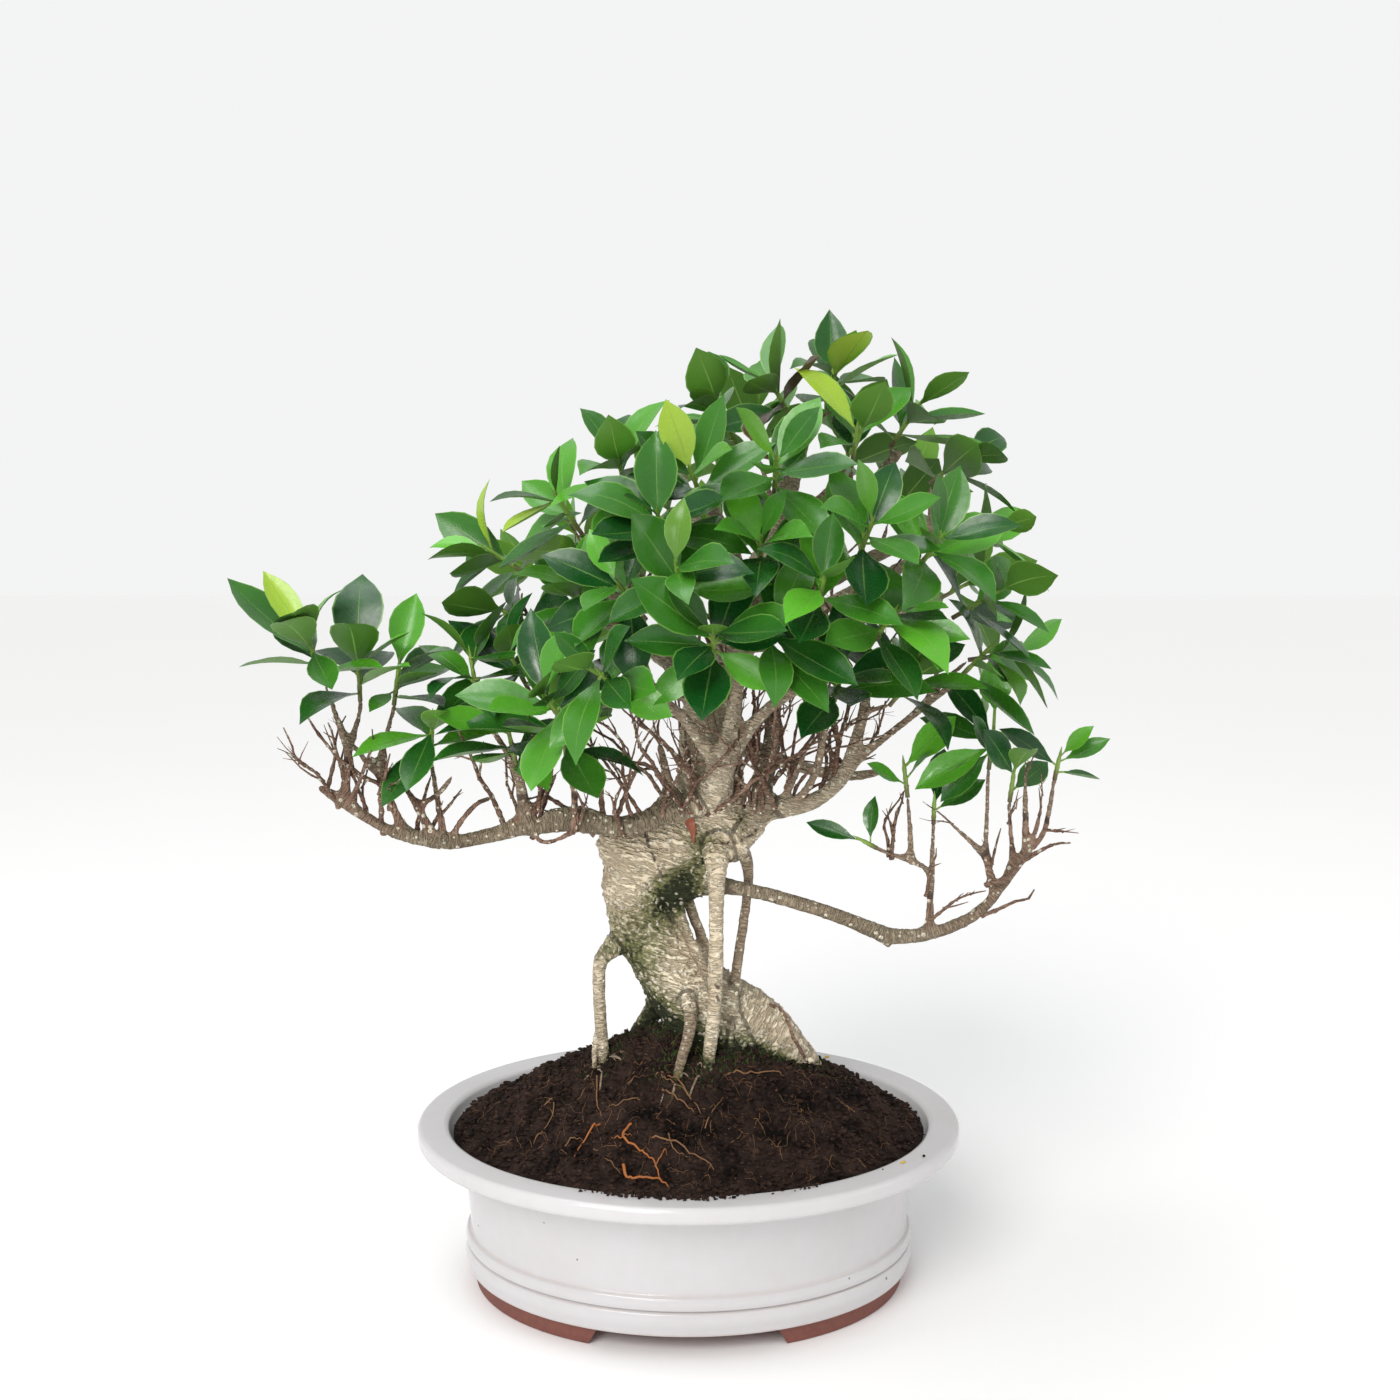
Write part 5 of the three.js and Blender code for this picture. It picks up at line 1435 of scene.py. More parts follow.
@dataclass
class FineTwigs:
    """The thin twigs inside the crown and along the low branches, and the rootlets at the air roots' feet."""

    zones: tuple[TwigZone, ...] = (
        TwigZone(17, (-10, -34, 322), (62, -12, 345), (60, 125), (0.05, -0.18, 1.0)),
        TwigZone(13, (30, -30, 318), (110, 0, 360), (45, 105), (0.35, -0.15, 1.0)),
        TwigZone(7, (-40, -50, 305), (10, -20, 345), (50, 110), (-0.35, -0.10, 1.0)),
        TwigZone(11, (-120, -50, 300), (-40, -25, 330), (35, 80), (-0.15, -0.05, 1.0)),
        TwigZone(11, (-235, -50, 300), (-140, -25, 345), (30, 70), (0.1, -0.1, 1.0)),
        TwigZone(8, (120, -34, 235), (215, -8, 290), (25, 50), (0.2, -0.1, 1.0)),
        TwigZone(24, (-120, -60, 380), (120, 40, 480), (30, 80), (0.0, -0.15, 1.0)),
        TwigZone(18, (-110, 10, 330), (120, 80, 450), (35, 90), (0.0, 0.5, 1.0)),
        TwigZone(2, (163, -22, 315), (167, -18, 318), (12, 22), (-0.75, 0.0, 0.65), 0.5),
        TwigZone(2, (201, -22, 312), (203, -18, 316), (12, 22), (0.3, 0.0, 1.0), 0.5),
        TwigZone(2, (214, -22, 342), (216, -18, 346), (14, 26), (0.0, -0.1, 1.0), 0.5),
        TwigZone(2, (225, -22, 321), (227, -18, 325), (12, 22), (0.3, 0.0, 1.0), 0.5),
        TwigZone(2, (246, -22, 300), (250, -18, 304), (10, 18), (0.95, 0.0, 0.4), 0.5),
    )
    thick: tuple[float, float] = (1.05, 1.9)
    creeper: Rows = ((769, 1004), (780, 1010), (787, 1022), (792, 1036), (800, 1050), (808, 1063))
    creeper_radius: float = 1.35
    rootlet_feet: Rows = (
        (-55, -20, 148, 13, 8), (-61, -26, 146, 9, 4), (11, -40, 146, 10, 4), (-7, -47, 152, 9, 4)
    )
    reach: float = 26.0
    taper: float = 0.62
    forking: float = 0.34
    seed: int = 41

    def _grow(
        self, foot: Vector, way: Vector, length: float, radius: float, rng: random.Random, forks: int
    ) -> list[Strand]:
        """One kinked twig with side twigs, as strands of places and radii in metres."""
        aim = way.normalized()
        heading = aim.copy()
        path = [(foot - heading * 2 * MM, radius * 1.25 * MM)]
        place, gone = foot.copy(), 0.0
        strands = []
        while gone < length:
            step = rng.uniform(4.5, 9.5)
            bend = Vector((rng.gauss(0, 1), rng.gauss(0, 1), rng.gauss(0, 1)))
            heading = (heading + bend * 0.21 + aim * 0.15).normalized()
            size = radius * (1 - self.taper * gone / length)
            path.append((place.copy(), size * rng.uniform(1.05, 1.35) * MM))
            path.append((place + heading * step * 0.45 * MM, size * 0.88 * MM))
            if forks and gone > length * 0.25 and rng.random() < self.forking:
                away = bend.cross(heading).normalized()
                side = (heading + away * rng.uniform(0.4, 0.85)).normalized()
                left = (length - gone) * rng.uniform(0.35, 0.8)
                strands += self._grow(place.copy(), side, left, size * 0.72, rng, forks - 1)
            place = place + heading * step * MM
            gone += step
        path.append((place, radius * 0.30 * MM))
        return [path, *strands]

    def _twigs(self, tree: BVHTree, rng: random.Random) -> list[Strand]:
        """Strands of the twigs that leave the wood in each zone."""
        twigs = []
        for zone in self.zones:
            for _ in range(zone.count):
                spot = point(*(rng.uniform(a, b) for a, b in zip(zone.low, zone.high)))
                foot, normal, _, gap = tree.find_nearest(spot)
                if gap > self.reach * MM:
                    continue
                scatter = Vector((rng.gauss(0, 0.35), rng.gauss(0, 0.22), rng.gauss(0, 0.15)))
                way = Vector(zone.lean) + scatter + normal * 0.45
                length, radius = rng.uniform(*zone.length), rng.uniform(*self.thick) * zone.girth
                twigs += self._grow(foot, way, length, radius, rng, 2)
        return twigs

    def _rootlets(self, soil: Soil, rng: random.Random) -> list[Strand]:
        """Strands that run from the feet of the air roots over the soil and into it."""
        loops = []
        for x, y, z, reach, count in self.rootlet_feet:
            for _ in range(count):
                turn = rng.uniform(0, math.tau)
                out = Vector((math.cos(turn), math.sin(turn) - 0.4, 0)) * reach * rng.uniform(0.5, 1.2)
                rows = [(x, y, z + rng.uniform(-10, 6))]
                for share, lift in ((0.5, 1.6), (1.0, 0.7), (1.3, -2.5)):
                    spot = (x + out.x * share, y + out.y * share)
                    rows.append((*spot, soil.height(*spot) + lift))
                radius = rng.uniform(0.5, 0.95) * MM
                loops.append([(point(*row), radius) for row in smooth_path(rows, 4)])
        return loops

    def _creeping(self, tree: BVHTree, studio: "Studio") -> Strand:
        """The thin root that creeps over the thick right one, its ends sunk in the bark."""
        creep = []
        for number, (u, v) in enumerate(self.creeper):
            hit, normal, _, _ = tree.ray_cast(*studio.sight(u, v))
            if hit is not None:
                lift = -0.9 if number in (0, len(self.creeper) - 1) else 0.6
                creep.append((*(hit + normal * lift * MM), self.creeper_radius * MM))
        return [(Vector(row[:3]), row[3]) for row in smooth_path(creep, 5)]

    def make(self, wood: Sequence[Piece], soil: Soil, studio: "Studio") -> list[Piece]:
        """Models and dresses the twigs and rootlets.

        Args:
            wood: The dressed wood, which they grow from and whose bark they have.
            soil: The mound the rootlets end in.
            studio: Whose view shows where the thin root creeps over a thick one.

        Returns:
            The pieces.
        """
        rng = random.Random(self.seed)
        tree = tree_of(*wood)
        twigs = [*self._twigs(tree, rng), self._creeping(tree, studio)]
        rootlets = self._rootlets(soil, rng)
        made = []
        kinds = (("fine_twigs", twigs, 1.3, 0.0), ("rootlets", rootlets, 2.8, 0.45))
        for name, strands, girth, rooted in kinds:
            piece = tubes(name, strands, 6)
            mark(piece, "along", arrays_of(piece)[0][:, 2])
            for label, value in (("girth", girth * MM), ("damp", 0.0), ("crack", 0.0), ("rooted", rooted)):
                mark(piece, label, np.full(len(piece.data.vertices), value))
            piece.data.materials.append(wood[0].data.materials[0])
            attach(piece, "root")
            made.append(piece)
        return made


@dataclass
class DryLeaf:
    """The dry red-brown leaf caught against the trunk under the crown."""

    seen: Rows = ((689, 812), (691, 822), (694, 832), (694, 844))
    widths: tuple[float, ...] = (0.8, 3.5, 2.8, 0.3)
    clear: float = 2.0
    corners: Rows = (
        (-1, 0.0, 0.0), (0, -0.5, 0.0), (1, 0.1, 0.0), (1, 0.1, 0.4), (0, -0.5, 0.4), (-1, 0.0, 0.4)
    )
    finish: Finish = PlainFinish("dry_leaf", 0.3, 0.5, (0.36, 0.115, 0.070), (0.20, 0.060, 0.036), 160.0)

    def make(self, trunk: Piece, studio: "Studio") -> Piece:
        """Models and dresses the leaf along the bark that the view shows behind it."""
        tree = tree_of(trunk)
        line = []
        for (u, v), wide in zip(self.seen, self.widths):
            hit, normal, _, _ = tree.ray_cast(*studio.sight(u, v))
            line.append((*(hit + normal * self.clear * MM), wide))
        rows, sides, round_it = [], [], len(self.corners)
        line = smooth_path(line, 4)
        for number, (x, y, z, wide) in enumerate(line):
            turn = 0.7 * number / (len(line) - 1) + 0.3
            for across, lift, back in self.corners:
                side = Vector((math.cos(turn), -math.sin(turn), 0)) * across * max(wide, 0.15)
                deep = side.y + lift * wide * 0.5 + back
                rows.append((x + side.x * MM, y + deep * MM, z + 0.25 * across * wide * MM))
        for ring in range(0, len(rows) - round_it, round_it):
            for corner in range(round_it):
                a, b = ring + corner, ring + (corner + 1) % round_it
                sides.append((a, b, b + round_it, a + round_it))
        sides += [tuple(range(round_it - 1, -1, -1)), tuple(range(len(rows) - round_it, len(rows)))]
        leaf = from_arrays("dry_leaf", np.array(rows), sides)
        with editing(leaf):
            face_outward()
        smooth(leaf, 60)
        leaf.data.materials.append(self.finish.make())
        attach(leaf, "root")
        return leaf


@dataclass
class LeafFrame:
    """Where one leaf of a shoot lies: its middle line, its two directions and its half width, in metres."""

    line: list[np.ndarray]
    side: np.ndarray
    up: np.ndarray
    half: float

    @property
    def middle(self) -> Vector:
        """A place near the blade's middle."""
        return Vector(self.line[-3] * 0.5 + self.line[-2] * 0.5)

    def place(self, shares: np.ndarray) -> tuple[np.ndarray, np.ndarray]:
        """Points and directions on the middle line.

        Args:
            shares: 0 at the root, 1 at the petiole's end, 2 at the tip.

        Returns:
            The points, and the line's directions there.
        """
        points = np.array(self.line)
        marks = np.array((0.0, 1.0, 1.34, 1.70, 2.0)) if len(points) == 5 else np.array((0.0, 1.70, 2.0))
        slopes = np.gradient(points, marks, axis=0)
        index = np.clip(np.searchsorted(marks, shares, side="right") - 1, 0, len(marks) - 2)
        width = (marks[index + 1] - marks[index])[:, None]
        t = ((shares - marks[index])[:, None]) / width
        a, b, m, n = points[index], points[index + 1], slopes[index] * width, slopes[index + 1] * width
        where = a * (2 * t**3 - 3 * t**2 + 1) + m * (t**3 - 2 * t**2 + t)
        where = where + b * (3 * t**2 - 2 * t**3) + n * (t**3 - t**2)
        way = a * (6 * t**2 - 6 * t) + m * (3 * t**2 - 4 * t + 1)
        way = way + b * (6 * t - 6 * t**2) + n * (3 * t**2 - 2 * t)
        return where, way / np.linalg.norm(way, axis=1)[:, None]


class Look(IntEnum):
    """The number of each material on a shoot."""

    UPPER = 0
    LOWER = 1
    STEM = 2


@dataclass
class Foliage:
    """Every shoot: a green stem with its bud, and leathery leaves laid on the solid's own leaves."""

    stem_radius: float = 1.5
    petiole: float = 8.0
    seed: int = 23
    stations: Rows = (
        (0.0, 0.10, 0.80), (0.88, 0.085, 0.60), (1.05, 0.28, 0.66), (1.17, 0.59, 0.70), (1.33, 0.85, 0.68),
        (1.50, 0.93, 0.66), (1.67, 0.82, 0.62), (1.81, 0.55, 0.54), (1.92, 0.22, 0.44), (2.0, 0.0, 0.0),
    )
    young: Rows = ((865, 335), (832, 380), (490, 508), (523, 507), (270, 585), (661, 430))
    withered: Rows = ((780, 375), (762, 402))
    corners: Rows = ((1, 0), (0.52, 1), (0, 1), (-0.52, 1), (-1, 0), (0, -1))
    near_pixel: float = 45.0
    behind_cost: float = 120.0
    last_share: float = 0.80
    keel_share: float = 0.66
    tone_levels: tuple[float, ...] = (-0.26, 0.04, 0.46)
    tone_weights: tuple[float, ...] = (0.46, 0.34, 0.20)
    upper: Finish = LeafFinish("leaf_upper", 0.24, 0.5)
    lower: Finish = LeafFinish(
        "leaf_lower", 0.44, 0.36, Side.LOWER, (0.060, 0.175, 0.018), (0.150, 0.345, 0.040),
        (0.44, 0.60, 0.06), (0.11, 0.05, 0.03), (0.26, 0.46, 0.09)
    )
    stem: Finish = PlainFinish(
        "green_stems", 0.42, 0.4, (0.23, 0.395, 0.065), (0.115, 0.066, 0.045), 90.0, toned="woody"
    )

    def _blade(self) -> tuple[np.ndarray, list[Face], np.ndarray, list[int]]:
        """The one leaf that all are copied from, drawn out from a six-sided ring.

        Returns:
            Its vertices (share of half width, share along, millimetres of depth), faces, each vertex's place
            across from -1 to 1, and each face's finish.
        """
        sides = len(self.corners)
        upright = (math.pi / 2, 0, 0)
        bpy.ops.mesh.primitive_circle_add(vertices=sides, radius=1, rotation=upright, location=(0, 0, 0))
        leaf = place_applied(bpy.context.object)
        with editing(leaf):
            bpy.ops.mesh.edge_face_add()
            for before, after in zip(self.stations, self.stations[1:]):
                move = {"value": (0, after[0] - before[0], 0)}
                bpy.ops.mesh.extrude_region_move(TRANSFORM_OT_translate=move)
            bpy.ops.mesh.merge(type="CENTER")
            face_outward()
        places, faces = taken(leaf)
        marks = np.array([row[0] for row in self.stations])
        shape, across, low = np.zeros_like(places), np.zeros(len(places)), np.zeros(len(places), bool)
        turns = np.degrees(np.arctan2(places[:, 2], places[:, 0]))
        first = turns[np.argmin(np.abs(places[:, 1]))]
        for i, place in enumerate(places):
            station = int(np.argmin(np.abs(marks - place[1])))
            along, wide, deep = self.stations[station]
            shape[i, 1] = along
            if station == len(marks) - 1:
                continue
            corner = round((turns[i] - first) * sides / 360) % sides
            x, z = self.corners[corner]
            across[i], low[i] = x, z < 0
            on_blade = station > 1
            shape[i, 0] = x * wide
            shape[i, 2] = (-deep if z < 0 else 0.0) if on_blade else z * deep
        looks = []
        for face in faces:
            on_petiole = shape[list(face), 1].max() < 0.9
            looks.append(Look.STEM if on_petiole else Look.LOWER if low[list(face)].any() else Look.UPPER)
        return shape, faces, across, looks

    def _read(self, node: str) -> tuple[list[LeafFrame], Vector, Vector, float]:
        """Where a shoot's solid has its leaves and stem.

        Args:
            node: The shoot's node.

        Returns:
            Its leaves, the stem's foot and direction, and the stem's length in metres.
        """
        copy = linked("reading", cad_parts[node].data.copy())
        merge_doubles(copy, 2e-6)
        places, faces = taken(copy)
        near: list[set[int]] = [set() for _ in places]
        for face in faces:
            for a, b in zip(face, face[1:] + face[:1]):
                near[a].add(b)
                near[b].add(a)
        edge = self.stem_radius * MM * math.sqrt(3)
        off = [
            max(abs(np.linalg.norm(places[a] - places[b]) - edge) for a, b in zip(face, face[1:] + face[:1]))
            for face in faces
        ]
        cap = list(faces[int(np.argmin(off))])
        foot = places[cap].mean(0)
        inward = -np.cross(places[cap[1]] - places[cap[0]], places[cap[2]] - places[cap[0]])
        axis = inward / np.linalg.norm(inward)
        beside = np.linalg.norm(np.cross(places - foot, axis), axis=1) < 1.4 * MM
        length = ((places - foot) @ axis)[beside].max() if beside.any() else 10 * MM
        leaves = []
        for tip, third in enumerate(near):
            if len(third) != 3 or any(len(near[a] & third) < 2 for a in third):
                continue
            left, right, keel = sorted(third, key=lambda row: np.linalg.norm(places[row] - places[tip]))
            if np.linalg.norm(places[left] - places[right]) < 4 * MM:
                continue
            leaves.append(self._frame(places, near, tip, (left, right, keel), foot, axis))
        return leaves, Vector(foot), Vector(axis), float(max(length, 6 * MM))

    def _frame(
        self,
        places: np.ndarray,
        near: list[set[int]],
        tip: int,
        ring: Face,
        foot: np.ndarray,
        axis: np.ndarray,
    ) -> LeafFrame:
        """One leaf's frame from its tip, the two corners before it and the keel below them."""
        left, right, keel = ring
        side = places[right] - places[left]
        half = np.linalg.norm(side) / 2 / self.last_share
        side = side / np.linalg.norm(side)
        last = (places[left] + places[right]) / 2
        line = [last, places[tip]]
        up = np.cross(side, places[tip] - last)
        up = up / np.linalg.norm(up)
        up = up * np.sign(up @ (last * 0.5 + places[tip] * 0.5 - places[keel]))
        second = (near[left] | near[right]) - {tip, left, right, keel}
        first = set().union(*(near[a] for a in (*second, keel))) - second - {tip, left, right, keel}
        if len(second) == 2 and len(first) == 3:
            a, b = second
            line.insert(0, (places[a] + places[b]) / 2)
            up = line[0] - places[keel]
            up = up / np.linalg.norm(up)
            rows = sorted(first)
            pairs = ((rows[0], rows[1]), (rows[1], rows[2]), (rows[0], rows[2]))
            a, b = max(pairs, key=lambda row: np.linalg.norm(places[row[0]] - places[row[1]]))
            line.insert(0, (places[a] + places[b]) / 2)
            way = line[0] - line[1]
            root = line[0] + way / np.linalg.norm(way) * (self.petiole - 0.5) * MM
        else:
            way = last - places[tip]
            blade = np.linalg.norm(places[tip] - places[keel]) / self.keel_share
            root = last + way / np.linalg.norm(way) * (0.7 * blade + self.petiole * MM)
        reach = max(1.0 * MM, (root - foot) @ axis)
        on_stem = foot + axis * reach
        line.insert(0, on_stem if np.linalg.norm(on_stem - root) < 12 * MM or len(line) < 4 else root)
        return LeafFrame(line, side, up, half)

    def _lay(self, leaf: LeafFrame, shape: np.ndarray, across: np.ndarray, rng: random.Random) -> np.ndarray:
        """The copied leaf's vertices, bent to a frame.

        Args:
            leaf: Where it lies.
            shape: The one leaf's vertices.
            across: Each vertex's place across, from -1 to 1.
            rng: The foliage's own dice, for small differences between leaves.

        Returns:
            Vertices in metres.
        """
        where, way = leaf.place(shape[:, 1])
        twist = rng.gauss(0, 0.08)
        cup = rng.uniform(0.10, 0.50)
        wavy, phase = rng.uniform(0.0, 0.025), rng.uniform(0, math.tau)
        droop = rng.uniform(0.0, 0.24) * leaf.half
        blade = np.clip(shape[:, 1] - 1, 0, 1)
        side = leaf.side[None, :] - (way @ leaf.side)[:, None] * way
        side = side / np.linalg.norm(side, axis=1)[:, None]
        up = np.cross(side, way)
        up = up * np.sign(up @ leaf.up)[:, None]
        turn = (twist * blade)[:, None]
        side, up = side * np.cos(turn) + up * np.sin(turn), up * np.cos(turn) - side * np.sin(turn)
        wide = shape[:, 0] * leaf.half
        marks, widths, _ = zip(*self.stations)
        reach = np.interp(shape[:, 1], marks, widths)
        dip = -cup * leaf.half * reach * (1 - np.abs(across)) * (blade > 0)
        dip -= droop * 6 * blade**3
        waves = np.sin(blade * 4.5 + phase + np.sign(across))
        ripple = leaf.half * reach * wavy * np.abs(across) * waves * (blade > 0)
        high = shape[:, 2] * MM + dip + ripple
        return where + side * wide[:, None] + up * high[:, None]

    def _stem(self, foot: Vector, axis: Vector, length: float) -> tuple[np.ndarray, list[Face]]:
        """A shoot's stem, knotty where leaves leave it, ending in a sharp bud."""
        radius = self.stem_radius * MM
        body = max(length - 9 * MM, 2 * MM)
        knots = ((0.18, 0.98), (0.32, 1.12), (0.45, 0.92), (0.62, 1.08), (0.76, 0.88), (1.0, 1.0))
        rows = [(-1.2 * MM, 1.0), *((body * share, wide) for share, wide in knots)]
        rows += [(body + 2 * MM, 0.72), (body + 5 * MM, 0.55), (length, 0.12)]
        path = [(foot + axis * reach, radius * share) for reach, share in rows]
        return taken(tubes("stem", [path], 8))

    def _chosen(
        self, leaves: dict[str, list[LeafFrame]], pixels: Rows, studio: "Studio"
    ) -> set[tuple[str, int]]:
        """The leaves nearest to places on the view, each the foremost of those close by."""
        chosen = set()
        for u, v in pixels:
            best, found = 1e9, None
            for node, frames in leaves.items():
                for number, leaf in enumerate(frames):
                    a, b = studio.project(leaf.middle)
                    gap = math.hypot(a - u, b - v)
                    cost = gap + (leaf.middle.y - POT_CENTRE.y) * self.behind_cost
                    if gap < self.near_pixel and cost < best:
                        best, found = cost, (node, number)
            if found:
                chosen.add(found)
        return chosen

    def make(self, studio: "Studio") -> list[Piece]:
        """Models and dresses every shoot as a piece of its own."""
        nodes = sorted(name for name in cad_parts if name.startswith("shoot_"))
        shape, faces, across, kinds = self._blade()
        spread = np.stack((across / 2 + 0.5, np.clip(shape[:, 1] - 1, 0, 1)), 1)
        reads = {node: self._read(node) for node in nodes}
        leaves = {node: read[0] for node, read in reads.items()}
        young = self._chosen(leaves, self.young, studio)
        withered = self._chosen(leaves, self.withered, studio)
        materials = [self.upper.make(), self.lower.make(), self.stem.make()]
        rng = random.Random(self.seed)
        pieces = []
        for node, (frames, foot, axis, length) in reads.items():
            copies = Copies()
            looks, uvs, ages = [], [], []
            shoot_tone = rng.gauss(0.36, 0.09) + (foot.z - 0.45) * 0.35
            for number, leaf in enumerate(frames):
                laid = self._lay(leaf, shape, across, rng)
                high = float(np.clip((leaf.line[0] - np.array(foot)) @ np.array(axis) / length, 0, 1))
                level = rng.choices(self.tone_levels, self.tone_weights)[0]
                tone = rng.gauss(shoot_tone + level, 0.09) + 0.24 * (high - 0.5)
                copies.add(laid, faces, min(1.0, max(0.0, tone)))
                looks += kinds
                uvs.append(spread)
                age = 1.0 if (node, number) in young else -1.0 if (node, number) in withered else 0.0
                age = age or max(0.0, rng.gauss(0.0, 0.10)) * (high > 0.6)
                ages += [age] * len(shape)
            stem_places, stem_faces = self._stem(foot, axis, length)
            rise = (stem_places - np.array(foot)) @ np.array(axis) / length
            woody = np.concatenate((np.zeros(len(ages)), np.clip(1.2 - rise * 3.2, 0, 1)))
            copies.add(stem_places, stem_faces, 0.5)
            looks += [Look.STEM] * len(stem_faces)
            uvs.append(np.zeros((len(stem_places), 2)))
            ages += [0.0] * len(stem_places)
            piece = copies.piece(node.replace("shoot", "leafy_shoot"))
            for material in materials:
                piece.data.materials.append(material)
            piece.data.polygons.foreach_set("material_index", looks)
            corners = np.empty(len(piece.data.loops), np.int32)
            piece.data.loops.foreach_get("vertex_index", corners)
            layer = piece.data.uv_layers.new(name="blade")
            layer.data.foreach_set("uv", np.vstack(uvs)[corners].astype(np.float32).reshape(-1))
            mark(piece, "age", np.array(ages))
            mark(piece, "woody", woody)
            smooth(piece, 75)
            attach(piece, "root")
            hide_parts(node)
            pieces.append(piece)
        return pieces


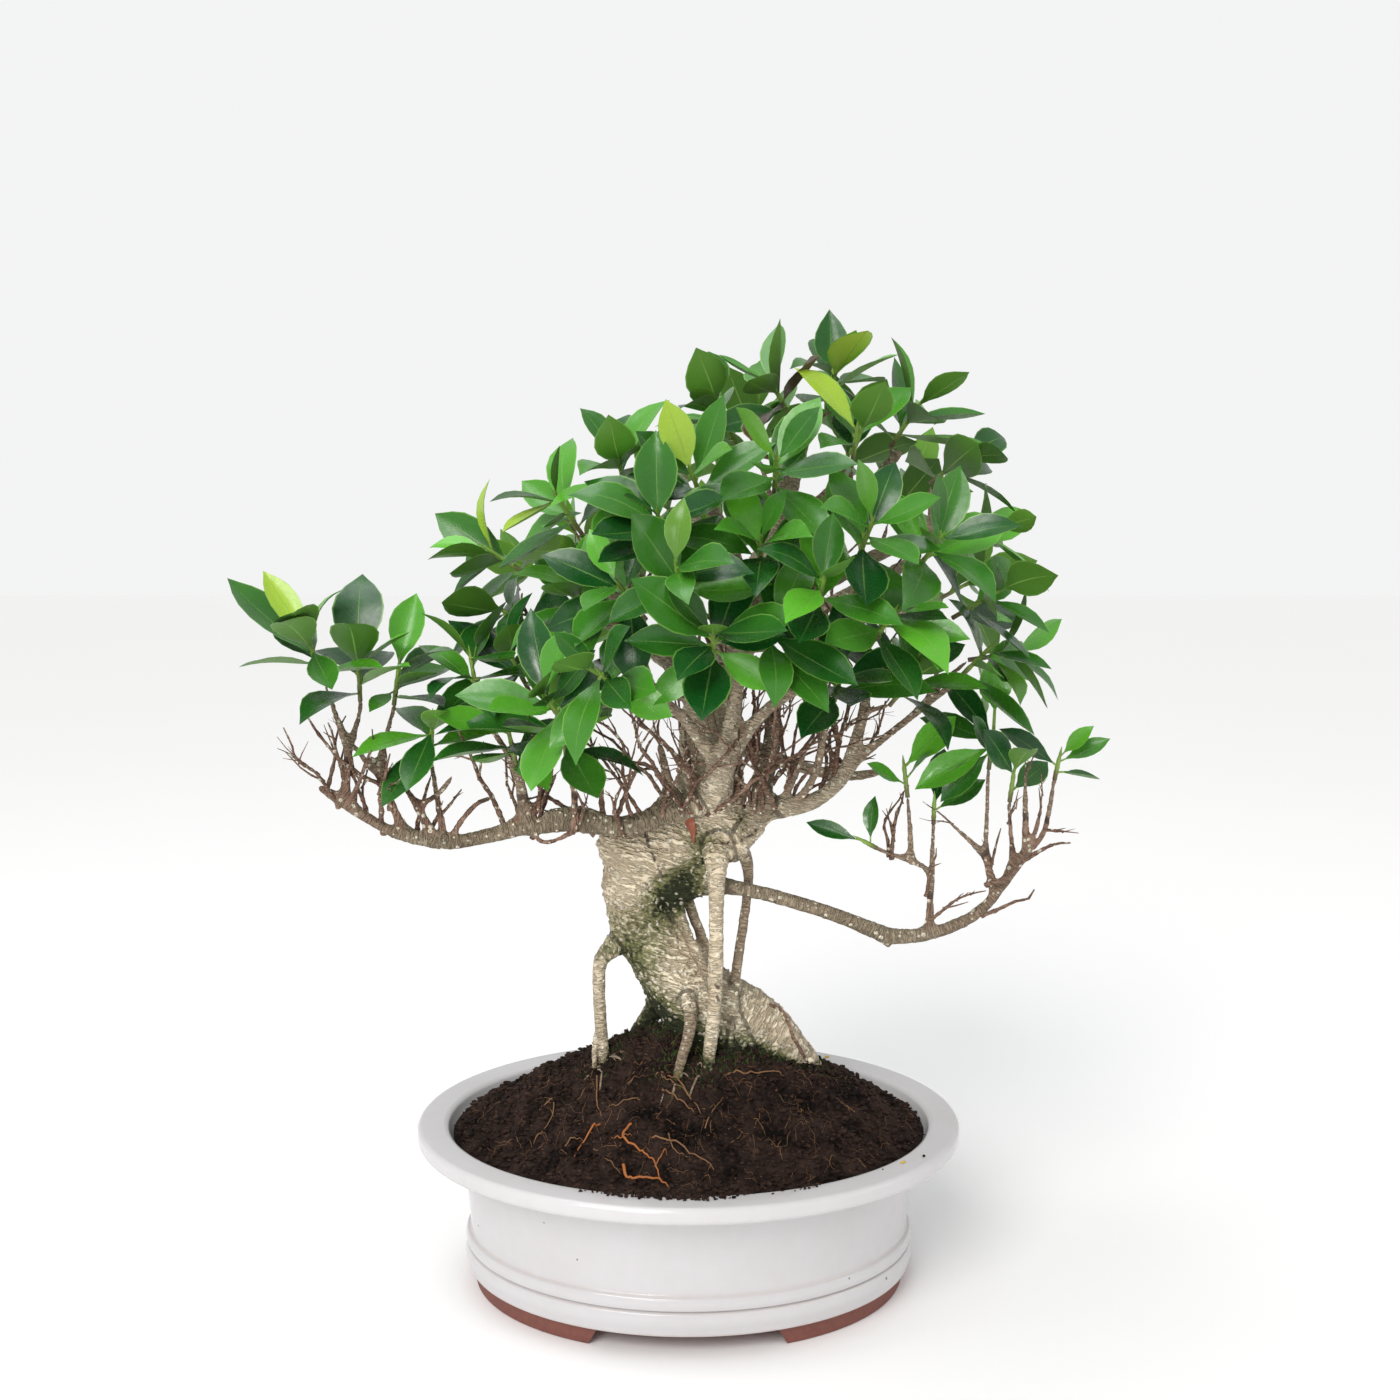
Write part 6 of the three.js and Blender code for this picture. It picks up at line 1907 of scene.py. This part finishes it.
@dataclass
class Studio:
    """A pale floor, soft light from above and the camera at the view's angle."""

    lens: float = 41.14
    sensor: float = 36.0
    frame_size: int = 1400
    eye: tuple[float, float, float] = (0.0176, -1.030, 0.524)
    pitch: float = 82.55
    reach: tuple[float, float] = (700.0, 1400.0)
    floor_size: float = 14.0
    floor_colour: Colour = (0.985, 0.982, 0.978)

    def camera(self) -> None:
        """Places the camera and makes it the scene's."""
        data = bpy.data.cameras.new("camera")
        data.lens, data.sensor_width = self.lens, self.sensor
        data.clip_start, data.clip_end = 0.01, 50.0
        camera = linked("camera", data)
        camera.location = self.eye
        camera.rotation_euler = (math.radians(self.pitch), 0, 0)
        bpy.context.scene.camera = camera

    @property
    def _pixels(self) -> float:
        """The lens in pixels of the frame."""
        return self.lens / self.sensor * self.frame_size

    @property
    def _turn(self) -> Matrix:
        """The camera's turn."""
        return Matrix.Rotation(math.radians(self.pitch), 3, "X")

    def project(self, place: Vector) -> tuple[float, float]:
        """The pixel a place is seen at."""
        seen = self._turn.transposed() @ (Vector(place) - Vector(self.eye))
        half = self.frame_size / 2
        return half + self._pixels * seen.x / -seen.z, half - self._pixels * seen.y / -seen.z

    def sight(self, u: float, v: float) -> tuple[Vector, Vector]:
        """A pixel's line of sight: where it starts and which way it goes, in metres."""
        half = self.frame_size / 2
        way = self._turn @ Vector(((u - half) / self._pixels, -(v - half) / self._pixels, -1.0))
        return Vector(self.eye), way

    def on_surface(self, u: float, v: float, height: Callable[[float, float], float]) -> tuple[float, float]:
        """Where a pixel's line of sight meets a surface.

        Args:
            u: Pixels from the frame's left.
            v: Pixels from its top.
            height: The surface's height at a place, in millimetres from the pot's centre.

        Returns:
            The place, in millimetres from the pot's centre.
        """
        eye, way = self.sight(u, v)
        start = (eye - POT_CENTRE) / MM
        near, far = self.reach
        for step in range(1, 400):
            reach = near + (far - near) * step / 400
            place = start + way * reach
            if place.z < height(place.x, place.y):
                break
        return place.x, place.y

    def floor(self) -> Piece:
        """The pale floor."""
        bpy.ops.mesh.primitive_plane_add(size=self.floor_size, location=(0, 0, 0))
        floor = bpy.context.object
        material = bpy.data.materials.new("pale_floor")
        material.use_nodes = True
        board = Board(material.node_tree)
        shader = material.node_tree.nodes["Principled BSDF"]
        shader.inputs["Roughness"].default_value = 0.75
        shader.inputs["Specular IOR Level"].default_value = 0.2
        place = board.add("TexCoord").outputs["Object"]
        share = board.grain(place, 1.2, 3.0)
        warm = tuple(value * 0.985 for value in self.floor_colour)
        board.put(shader.inputs["Base Color"], board.blend(share, self.floor_colour, warm))
        floor.data.materials.append(material)
        settle(floor, "pale_floor")
        return floor

    def _lamp(
        self, kind: str, name: str, place: Colour, aim: Colour, power: float, colour: Colour, **sizes: float
    ) -> None:
        """A lamp at a place that shines at another.

        Args:
            kind: SUN, SPOT or AREA.
            name: Its name.
            place: Where it is, in metres.
            aim: Where it shines.
            power: Its energy.
            colour: Its colour.
            sizes: Its own properties that make it soft.
        """
        data = bpy.data.lights.new(name, kind)
        data.energy, data.color = power, colour
        for label, value in sizes.items():
            setattr(data, label, value)
        lamp = linked(name, data)
        lamp.location = place
        lamp.rotation_euler = (Vector(aim) - Vector(place)).to_track_quat("-Z", "Y").to_euler()

    def lights(self) -> None:
        """A pale backdrop, dimmer soft light all round, a wide soft sun and three soft lamps."""
        world = bpy.data.worlds.new("studio")
        world.use_nodes = True
        board = Board(world.node_tree)
        around = world.node_tree.nodes["Background"]
        board.put(around.inputs["Color"], (0.98, 0.99, 1.0, 1.0))
        around.inputs["Strength"].default_value = 0.62
        backdrop = board.add("Background", {0: (0.900, 0.903, 0.903, 1.0), 1: 1.0})
        seen = board.add("LightPath").outputs["Is Camera Ray"]
        mixed = board.add("MixShader", {0: seen, 1: around.outputs[0], 2: backdrop.outputs[0]})
        board.put(world.node_tree.nodes["World Output"].inputs["Surface"], mixed.outputs[0])
        bpy.context.scene.world = world
        crown, trunk = (0, 0, 0.35), (0.0, 0.0, 0.275)
        wide, narrow = math.radians(30), math.radians(19)
        self._lamp("SUN", "soft_sun", (-0.42, -0.95, 0.85), (0, 0, 0), 1.6, (1.0, 0.985, 0.96), angle=wide)
        self._lamp("AREA", "top", (-0.5, -0.2, 1.9), crown, 9.0, (0.95, 0.98, 1.0), size=0.9)
        soft = {"spot_size": narrow, "spot_blend": 1.0, "shadow_soft_size": 0.16}
        self._lamp("SPOT", "trunk_light", (-0.32, -1.25, 0.34), trunk, 46.0, (1.0, 0.975, 0.93), **soft)
        self._lamp("AREA", "right", (1.7, -0.6, 1.0), crown, 3.0, (1.0, 0.98, 0.96), size=0.8)
        bpy.context.scene.view_settings.view_transform = "Standard"


def main() -> None:
    """Builds the studio and the bonsai, piece by piece."""
    logging.basicConfig(level=logging.INFO, format="%(message)s")
    studio = Studio()
    studio.camera()
    studio.lights()
    studio.floor()
    log.info("studio ready")
    pieces = [Pot().make()]
    plastic = DrainNet.finish.make()
    pieces += [DrainNet(node).make(plastic) for node in ("mesh_left", "mesh_right")]
    soil = Soil()
    pieces += soil.make(studio)
    wood = Wood().make(soil, studio)
    pieces += [*wood, *FineTwigs().make(wood, soil, studio)]
    pieces += [DryLeaf().make(wood[0], studio), Moss().make(wood[0], soil), *Foliage().make(studio)]
    for piece in pieces:
        log.info("%s: %d faces", piece.name, len(piece.data.polygons))


if __name__ == "__main__":
    main()
